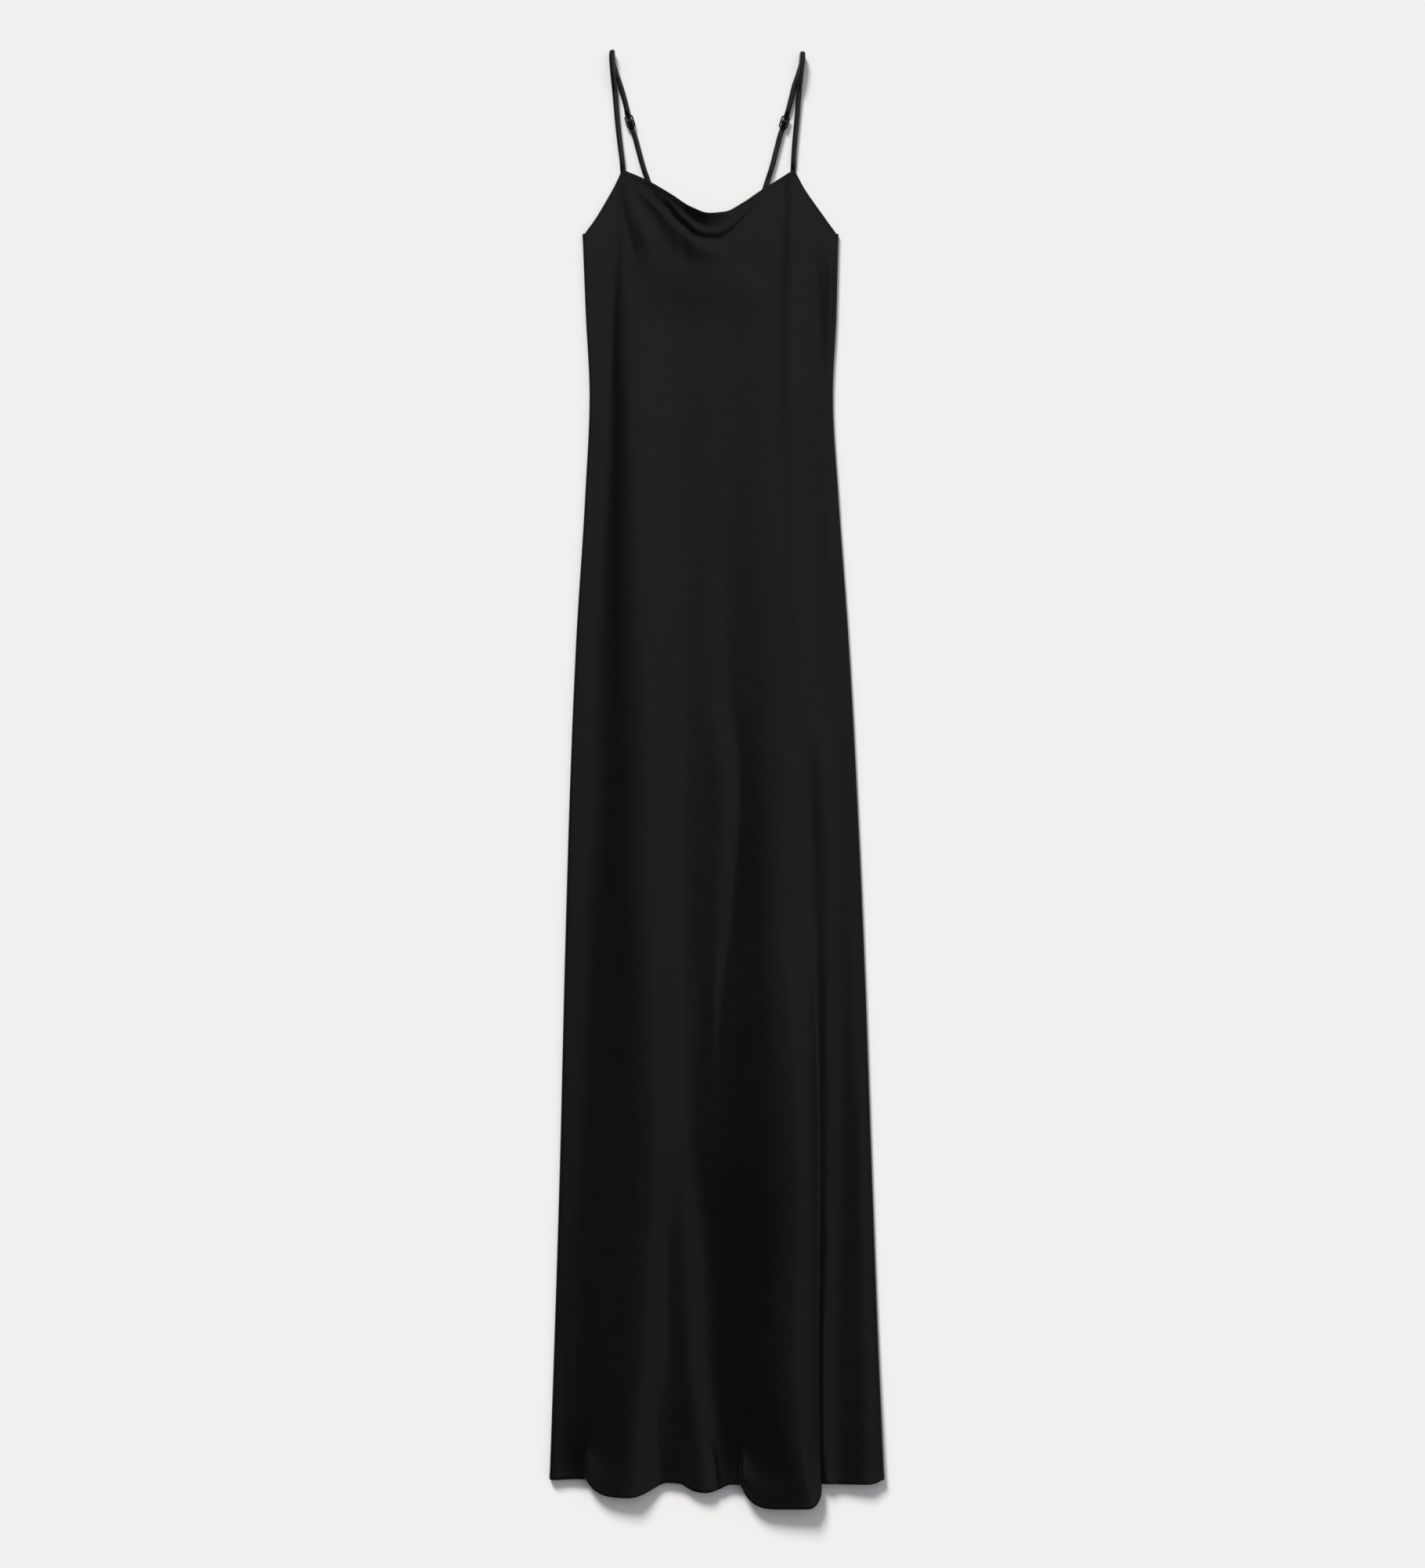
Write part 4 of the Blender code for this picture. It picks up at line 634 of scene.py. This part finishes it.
def satin(name, face=True, colour=(0.0025, 0.0015, 0.0014), rough=0.30, level=0.25):
    """Black bias-cut satin: fine diagonal floats, a little slub, and slow changes in sheen."""
    mat, tree, shader = new_material(name)
    link = tree.links.new
    uv = node(tree, "ShaderNodeUVMap", uv_map="cloth")
    turn = node(tree, "ShaderNodeMapping")
    turn.inputs["Rotation"].default_value = (0, 0, math.radians(45))
    link(uv.outputs["UV"], turn.inputs["Vector"])
    # floats: long and thin along the bias
    floats = node(tree, "ShaderNodeMapping")
    floats.inputs["Scale"].default_value = (3200.0, 520.0, 1.0)
    link(turn.outputs["Vector"], floats.inputs["Vector"])
    weave = node(tree, "ShaderNodeTexNoise", noise_dimensions="2D")
    weave.inputs["Scale"].default_value = 1.0
    weave.inputs["Detail"].default_value = 1.0
    link(floats.outputs["Vector"], weave.inputs["Vector"])
    slub_map = node(tree, "ShaderNodeMapping")
    slub_map.inputs["Scale"].default_value = (420.0, 26.0, 1.0)
    link(turn.outputs["Vector"], slub_map.inputs["Vector"])
    slub = node(tree, "ShaderNodeTexNoise", noise_dimensions="2D")
    slub.inputs["Scale"].default_value = 1.0
    slub.inputs["Detail"].default_value = 2.0
    link(slub_map.outputs["Vector"], slub.inputs["Vector"])
    cloud = node(tree, "ShaderNodeTexNoise", noise_dimensions="2D")
    cloud.inputs["Scale"].default_value = 38.0
    cloud.inputs["Detail"].default_value = 3.0
    link(uv.outputs["UV"], cloud.inputs["Vector"])
    # colour
    tint = node(tree, "ShaderNodeMapRange")
    tint.inputs["To Min"].default_value = 0.82
    tint.inputs["To Max"].default_value = 1.18
    link(cloud.outputs["Fac"], tint.inputs["Value"])
    mul = node(tree, "ShaderNodeVectorMath", operation="SCALE")
    mul.inputs[0].default_value = colour
    link(tint.outputs["Result"], mul.inputs["Scale"])
    link(mul.outputs["Vector"], shader.inputs["Base Color"])
    # roughness
    rr = node(tree, "ShaderNodeMapRange")
    rr.inputs["From Min"].default_value = 0.25
    rr.inputs["From Max"].default_value = 0.75
    rr.inputs["To Min"].default_value = rough - 0.012
    rr.inputs["To Max"].default_value = rough + 0.012
    link(slub.outputs["Fac"], rr.inputs["Value"])
    link(rr.outputs["Result"], shader.inputs["Roughness"])
    # relief
    fine = node(tree, "ShaderNodeBump")
    fine.inputs["Strength"].default_value = 0.28 if face else 0.8
    fine.inputs["Distance"].default_value = 0.00005
    link(weave.outputs["Fac"], fine.inputs["Height"])
    soft = node(tree, "ShaderNodeBump")
    soft.inputs["Strength"].default_value = 0.10
    soft.inputs["Distance"].default_value = 0.00006
    link(slub.outputs["Fac"], soft.inputs["Height"])
    link(fine.outputs["Normal"], soft.inputs["Normal"])
    wave = node(tree, "ShaderNodeBump")
    wave.inputs["Strength"].default_value = 0.4
    wave.inputs["Distance"].default_value = 0.0005
    link(cloud.outputs["Fac"], wave.inputs["Height"])
    link(soft.outputs["Normal"], wave.inputs["Normal"])
    link(wave.outputs["Normal"], shader.inputs["Normal"])
    shader.inputs["Specular IOR Level"].default_value = level
    return mat


def plain_thread(name, colour, rough):
    mat, tree, shader = new_material(name)
    link = tree.links.new
    geo = node(tree, "ShaderNodeTexCoord")
    noise = node(tree, "ShaderNodeTexNoise")
    noise.inputs["Scale"].default_value = 2200.0
    link(geo.outputs["Object"], noise.inputs["Vector"])
    ramp = node(tree, "ShaderNodeMapRange")
    ramp.inputs["To Min"].default_value = 0.7
    ramp.inputs["To Max"].default_value = 1.3
    link(noise.outputs["Fac"], ramp.inputs["Value"])
    mul = node(tree, "ShaderNodeVectorMath", operation="SCALE")
    mul.inputs[0].default_value = colour
    link(ramp.outputs["Result"], mul.inputs["Scale"])
    link(mul.outputs["Vector"], shader.inputs["Base Color"])
    relief = node(tree, "ShaderNodeBump")
    relief.inputs["Strength"].default_value = 0.5
    relief.inputs["Distance"].default_value = 0.0001
    link(noise.outputs["Fac"], relief.inputs["Height"])
    link(relief.outputs["Normal"], shader.inputs["Normal"])
    shader.inputs["Roughness"].default_value = rough
    return mat


def bronze(name):
    mat, tree, shader = new_material(name)
    link = tree.links.new
    geo = node(tree, "ShaderNodeTexCoord")
    noise = node(tree, "ShaderNodeTexNoise")
    noise.inputs["Scale"].default_value = 900.0
    noise.inputs["Detail"].default_value = 4.0
    link(geo.outputs["Object"], noise.inputs["Vector"])
    ramp = node(tree, "ShaderNodeValToRGB")
    ramp.color_ramp.elements[0].position = 0.3
    ramp.color_ramp.elements[0].color = (0.012, 0.008, 0.006, 1)
    ramp.color_ramp.elements[1].position = 0.75
    ramp.color_ramp.elements[1].color = (0.050, 0.030, 0.022, 1)
    link(noise.outputs["Fac"], ramp.inputs["Fac"])
    link(ramp.outputs["Color"], shader.inputs["Base Color"])
    rough = node(tree, "ShaderNodeMapRange")
    rough.inputs["To Min"].default_value = 0.22
    rough.inputs["To Max"].default_value = 0.45
    link(noise.outputs["Fac"], rough.inputs["Value"])
    link(rough.outputs["Result"], shader.inputs["Roughness"])
    relief = node(tree, "ShaderNodeBump")
    relief.inputs["Strength"].default_value = 0.2
    relief.inputs["Distance"].default_value = 0.0001
    link(noise.outputs["Fac"], relief.inputs["Height"])
    link(relief.outputs["Normal"], shader.inputs["Normal"])
    shader.inputs["Metallic"].default_value = 1.0
    return mat


# ---------------------------------------------------------------- the dress

FACE = satin("satin_face")
REVERSE = satin("satin_reverse", face=False, colour=(0.0020, 0.0020, 0.0021), rough=0.60, level=0.20)
STRAP_SATIN = satin("satin_rouleau", rough=0.24, level=0.42)
THREAD = plain_thread("black_thread", (0.002, 0.002, 0.0022), 0.55)
METAL = bronze("dark_bronze")

ACROSS_FRONT = (8, 12, 12, 28, 18, 16, 16, 26, 22, 6, 12, 10, 10, 12, 8)
CROWD_FRONT = {2: 1.5, 3: 1.4, 7: 1.5, 8: -1.4, 12: -1.6}
ACROSS_BACK = (10, 10, 12, 10, 20, 10, 12, 10, 10)
CROWD_BACK = {2: 1.7, 6: -1.7}
ROWS_FRONT = spread([(0, 1.1), (60, 1.4), (110, 3.0), (160, 6.0), (420, 11.0), (1000, 11.0), (1150, 6.0), (1240, 3.0), (1250, 1.6), (1252, 1.2)])
ROWS_BACK = spread([(0, 1.5), (8, 1.5), (30, 9.0), (1190, 9.0), (1216, 1.5), (1224, 1.2)])

front, front_facts = cloth_wall("front_panel_satin", front_point, ACROSS_FRONT, CROWD_FRONT, ROWS_FRONT,
                                [FACE, REVERSE], THIN, (4.0, 5.0))
back, back_facts = cloth_wall("back_panel_satin", back_point, ACROSS_BACK, CROWD_BACK, ROWS_BACK,
                              [FACE, REVERSE], THIN, (4.0, 5.0))
print("front", front_facts["size"], len(front.data.polygons) * 2, "back", back_facts["size"], len(back.data.polygons) * 2)

for piece, cad in ((front, "front_panel"), (back, "back_panel")):
    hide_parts(cad)
    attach(piece, "root")


def slider_place(route):
    k = route["high"].index(0.8)
    x, down = route["x"], route["down"]
    run = np.array([x[k + 1] - x[k - 1], down[k + 1] - down[k - 1]])
    return k, np.array([x[k], down[k]]), run / np.linalg.norm(run)


def strap_rows(route):
    k, middle, run = slider_place(route)
    rows = [(route["x"][i], route["down"][i], route["z"][i], route["high"][i]) for i in range(k)]
    for along, z, high in zip(SLIDER_THREAD["along"], SLIDER_THREAD["z"], SLIDER_THREAD["high"]):
        x, down = middle + along * run
        rows.append((x, down, z, high))
    rows += [(route["x"][i], route["down"][i], route["z"][i], route["high"][i]) for i in range(k + 1, len(route["x"]))]
    return np.array(rows)


def strap(name, route, material, twist):
    """A rouleau tube with its seam as a fine groove, slightly twisted and pressed flat where it is sewn in."""
    rows = strap_rows(route)
    reach = np.concatenate([[0], np.cumsum(np.linalg.norm(np.diff(rows[:, :3], axis=0), axis=1))])
    at = np.concatenate([np.arange(0, reach[-1], 1.3), [reach[-1]]])
    centre = np.stack([curve_through(reach, rows[:, m], at) for m in range(3)], axis=-1)
    high = curve_through(reach, rows[:, 3], at)
    wide = STRAP_HALF_WIDTH * (1 - 0.02 * (1 - high / STRAP_HALF_HIGH))
    high = high * 0.93
    centre = centre * np.array([1.0, -1.0, 1.0])
    along = np.gradient(centre, at, axis=0)
    along /= np.linalg.norm(along, axis=1, keepdims=True)
    sideways = np.array([1.0, 0.0, 0.0]) - along * along[:, :1]
    sideways /= np.linalg.norm(sideways, axis=1, keepdims=True)
    up = np.cross(sideways, along)
    sides = 24
    verts, uvs = [], []
    for k in range(len(at)):
        seam = 0.9 + twist * at[k] / 60.0
        for m in range(sides):
            turn = TAU * m / sides
            near = (turn - seam + math.pi) % TAU - math.pi
            dent = 1 - 0.10 * math.exp(-((near / 0.16) ** 2))
            verts.append(centre[k] + (sideways[k] * wide[k] * math.cos(turn) + up[k] * high[k] * math.sin(turn)) * dent)
            uvs.append((turn * STRAP_HALF_WIDTH * MM, at[k] * MM))
    verts = to_world(np.array(verts) * np.array([1.0, -1.0, 1.0]))
    faces = []
    for k in range(len(at) - 1):
        for m in range(sides):
            n = (m + 1) % sides
            a, b = k * sides + m, k * sides + n
            faces.append((a, a + sides, b + sides, b))
    last = (len(at) - 1) * sides
    faces.append(tuple(range(sides)))
    faces.append(tuple(range(last + sides - 1, last - 1, -1)))
    return make_object(name, verts, faces, [material], uv=uvs), reach[-1]


STRAPS = []
for side, route, twist in (("left", STRAP_LEFT, 0.5), ("right", STRAP_RIGHT, -0.6)):
    tube, length = strap(f"strap_{side}_rouleau", route, STRAP_SATIN, twist)
    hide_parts(f"strap_{side}")
    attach(tube, "root")
    STRAPS.append((tube, length))


def slider(name, route):
    """A cast figure-of-eight frame: rounded bars all round and one across the middle."""
    _, middle, run = slider_place(route)
    half_l, half_w, r = SLIDER_LENGTH / 2 - SLIDER_BAR / 2, SLIDER_WIDTH / 2 - SLIDER_BAR / 2, 1.7
    bar_w, bar_t = SLIDER_BAR / 2, SLIDER_THICK / 2
    path = []
    for sx, sy, k in ((1, 1, 0), (-1, 1, 1), (-1, -1, 2), (1, -1, 3)):
        for m in range(7):
            turn = math.pi / 2 * (k + m / 6)
            x, y = sx * (half_w - r) + r * math.cos(turn), sy * (half_l - r) + r * math.sin(turn)
            path.append((x * (1 + 0.06 * (y / half_l) ** 2), y, math.cos(turn), math.sin(turn)))
    verts, faces = [], []
    sides = 12

    def ring_at(x, y, ox, oy):
        for m in range(sides):
            turn = TAU * m / sides
            across = bar_w * math.copysign(abs(math.cos(turn)) ** 0.75, math.cos(turn))
            rise = bar_t * math.copysign(abs(math.sin(turn)) ** 0.75, math.sin(turn))
            verts.append((x + ox * across, y + oy * across, rise))

    for x, y, ox, oy in path:
        ring_at(x, y, ox, oy)
    count = len(path)
    for k in range(count):
        for m in range(sides):
            n = (m + 1) % sides
            a, b = k * sides + m, k * sides + n
            c2, d2 = ((k + 1) % count) * sides + m, ((k + 1) % count) * sides + n
            faces.append((a, c2, d2, b))
    base = len(verts)
    spans = 8
    for k in range(spans + 1):
        ring_at(-half_w + 2 * half_w * k / spans, 0.0, 0.0, -1.0)
    for k in range(spans):
        for m in range(sides):
            n = (m + 1) % sides
            a, b = base + k * sides + m, base + k * sides + n
            faces.append((a, b, b + sides, a + sides))
    v = np.array(verts)
    turn = math.atan2(run[0], run[1])
    x = v[:, 0] * math.cos(turn) - v[:, 1] * math.sin(turn)
    y = v[:, 0] * math.sin(turn) + v[:, 1] * math.cos(turn)
    place = np.stack([middle[0] + x, middle[1] - y, v[:, 2] + SLIDER_Z], axis=1)
    return make_object(name, to_world(place), faces, [METAL])


for side, route in (("left", STRAP_LEFT), ("right", STRAP_RIGHT)):
    made = slider(f"slider_{side}_bronze", route)
    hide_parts(f"slider_{side}")
    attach(made, "root")

# Stitch lines: the narrow hems of both panels, the front's top edge and the back's.


def edge_line(facts, off, from_top, outside=True, cut=None):
    """Points on a panel's surface at one distance from its top edge or hem, with their normals."""
    middle, normal, thick = facts["middle"], facts["normal"], facts["thick"]
    edge = middle[0, :, 1] if from_top else middle[-1, :, 1]
    pts, ups = [], []
    for j in range(middle.shape[1]):
        d = middle[:, j, 1] - edge[j] if from_top else edge[j] - middle[:, j, 1]
        order = np.argsort(d)
        way = 1.0 if outside else -1.0
        p = [np.interp(off, d[order], middle[order, j, m]) for m in range(3)]
        q = np.array([np.interp(off, d[order], normal[order, j, m]) for m in range(3)])
        t = np.interp(off, d[order], thick[order, j])
        q /= np.linalg.norm(q)
        pts.append(np.array(p) + way * q * t / 2)
        ups.append(way * q)
    pts, ups = np.array(pts), np.array(ups)
    if cut:
        keep = slice(*cut)
        pts, ups = pts[keep], ups[keep]
    return pts, ups


front_cols = [0] + list(np.cumsum(ACROSS_FRONT))
back_cols = [0] + list(np.cumsum(ACROSS_BACK))
lines = [
    ("stitch_hem_front", edge_line(front_facts, 4.1, False), "front_panel"),
    ("stitch_hem_front_inside", edge_line(front_facts, 4.1, False, False), "front_panel"),
    ("stitch_neck_front", edge_line(front_facts, 3.1, True), "front_panel"),
    ("stitch_hem_back", edge_line(back_facts, 4.1, False), "back_panel"),
    ("stitch_hem_back_inside", edge_line(back_facts, 4.1, False, False), "back_panel"),
    ("stitch_top_back", edge_line(back_facts, 3.1, True, False), "back_panel"),
]
for name, (pts, ups), cad in lines:
    made = stitches(name, pts, ups, 2.0, 0.7, 0.13, THREAD)
    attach(made, "root")

# ---------------------------------------------------------------- floor, light and camera
floor_mat, tree, shader = new_material("pale_floor")
shader.inputs["Base Color"].default_value = (0.926, 0.896, 0.856, 1)
shader.inputs["Roughness"].default_value = 0.9
shader.inputs["Specular IOR Level"].default_value = 0.0
floor = make_object("floor", [(-6, -6, -0.0003), (6, -6, -0.0003), (6, 6, -0.0003), (-6, 6, -0.0003)], [(0, 1, 2, 3)], [floor_mat], smooth=False)

# A pale studio: bright low walls all round, a dim ceiling that grows lighter towards the dress's
# top and right, and one soft key from the upper left.
world = bpy.context.scene.world or bpy.data.worlds.new("studio")
bpy.context.scene.world = world
world.use_nodes = True
tree = world.node_tree
tree.nodes.clear()
LIGHT_SIDE = (0.80, 0.60, 0.0)
FALL_OFF = 1.2
TINT = (0.965, 1.012, 1.125)
CEILING = ((-0.40, 0.02), (-0.265, 0.04), (-0.155, 0.30), (-0.045, 0.58), (0.30, 0.62))
WALLS = 0.35
CEILING_EDGE, WALL_EDGE = 0.72, 0.45
where = node(tree, "ShaderNodeTexCoord")
lean = node(tree, "ShaderNodeVectorMath", operation="DOT_PRODUCT")
lean.inputs[1].default_value = LIGHT_SIDE
tree.links.new(where.outputs["Generated"], lean.inputs[0])
place = node(tree, "ShaderNodeMapRange")
place.inputs["From Min"].default_value = CEILING[0][0]
place.inputs["From Max"].default_value = CEILING[-1][0]
tree.links.new(lean.outputs["Value"], place.inputs["Value"])
ramp = node(tree, "ShaderNodeValToRGB")
ramp.color_ramp.interpolation = "EASE"
ramp.color_ramp.elements.remove(ramp.color_ramp.elements[1])
for k, (u, level) in enumerate(CEILING):
    at = (u - CEILING[0][0]) / (CEILING[-1][0] - CEILING[0][0])
    stop = ramp.color_ramp.elements[0] if k == 0 else ramp.color_ramp.elements.new(at)
    stop.position = at
    stop.color = (level * TINT[0], level * TINT[1], level * TINT[2], 1)
tree.links.new(place.outputs["Result"], ramp.inputs["Fac"])
parts = node(tree, "ShaderNodeSeparateXYZ")
tree.links.new(where.outputs["Generated"], parts.inputs["Vector"])
low = node(tree, "ShaderNodeMapRange", interpolation_type="SMOOTHSTEP")
low.inputs["From Min"].default_value = WALL_EDGE
low.inputs["From Max"].default_value = CEILING_EDGE
tree.links.new(parts.outputs["Z"], low.inputs["Value"])
mix = node(tree, "ShaderNodeMix", data_type="RGBA")
mix.inputs["A"].default_value = (WALLS, WALLS, WALLS, 1)
tree.links.new(low.outputs["Result"], mix.inputs["Factor"])
tree.links.new(ramp.outputs["Color"], mix.inputs["B"])
bg = node(tree, "ShaderNodeBackground")
tree.links.new(mix.outputs["Result"], bg.inputs["Color"])
fall = node(tree, "ShaderNodeMapRange")
fall.inputs["From Min"].default_value = -0.5
fall.inputs["From Max"].default_value = 0.25
fall.inputs["To Min"].default_value = 1 - 0.5 * FALL_OFF
fall.inputs["To Max"].default_value = 1 + 0.25 * FALL_OFF
tree.links.new(parts.outputs["Y"], fall.inputs["Value"])
tree.links.new(fall.outputs["Result"], bg.inputs["Strength"])
out = node(tree, "ShaderNodeOutputWorld")
tree.links.new(bg.outputs["Background"], out.inputs["Surface"])

key = bpy.data.lights.new("key", "SUN")
key.energy = 3.92
key.angle = math.radians(17)
key_obj = bpy.data.objects.new("key", key)
bpy.context.scene.collection.objects.link(key_obj)
KEY_FROM = (-0.52, 1.50, 0.88)
key_obj.visible_glossy = False
key_obj.rotation_euler = Vector(KEY_FROM).to_track_quat("Z", "Y").to_euler()

CAMERA_HEIGHT = 2.6
FRAME_HEIGHT = 2002 * 0.775 * MM
cam_data = bpy.data.cameras.new("camera")
cam_data.sensor_width = 36.0
cam_data.lens = 36.0 * CAMERA_HEIGHT / FRAME_HEIGHT
cam_data.clip_end = 50
cam = bpy.data.objects.new("camera", cam_data)
bpy.context.scene.collection.objects.link(cam)
cam.location = ((910.0 - 915.5) * 0.775 * MM, (MIDDLE - (1001.0 - 65.0) * 0.775) * MM, CAMERA_HEIGHT + 0.0025)
cam.rotation_euler = (0, 0, 0)
bpy.context.scene.camera = cam
bpy.context.scene.view_settings.view_transform = "Standard"
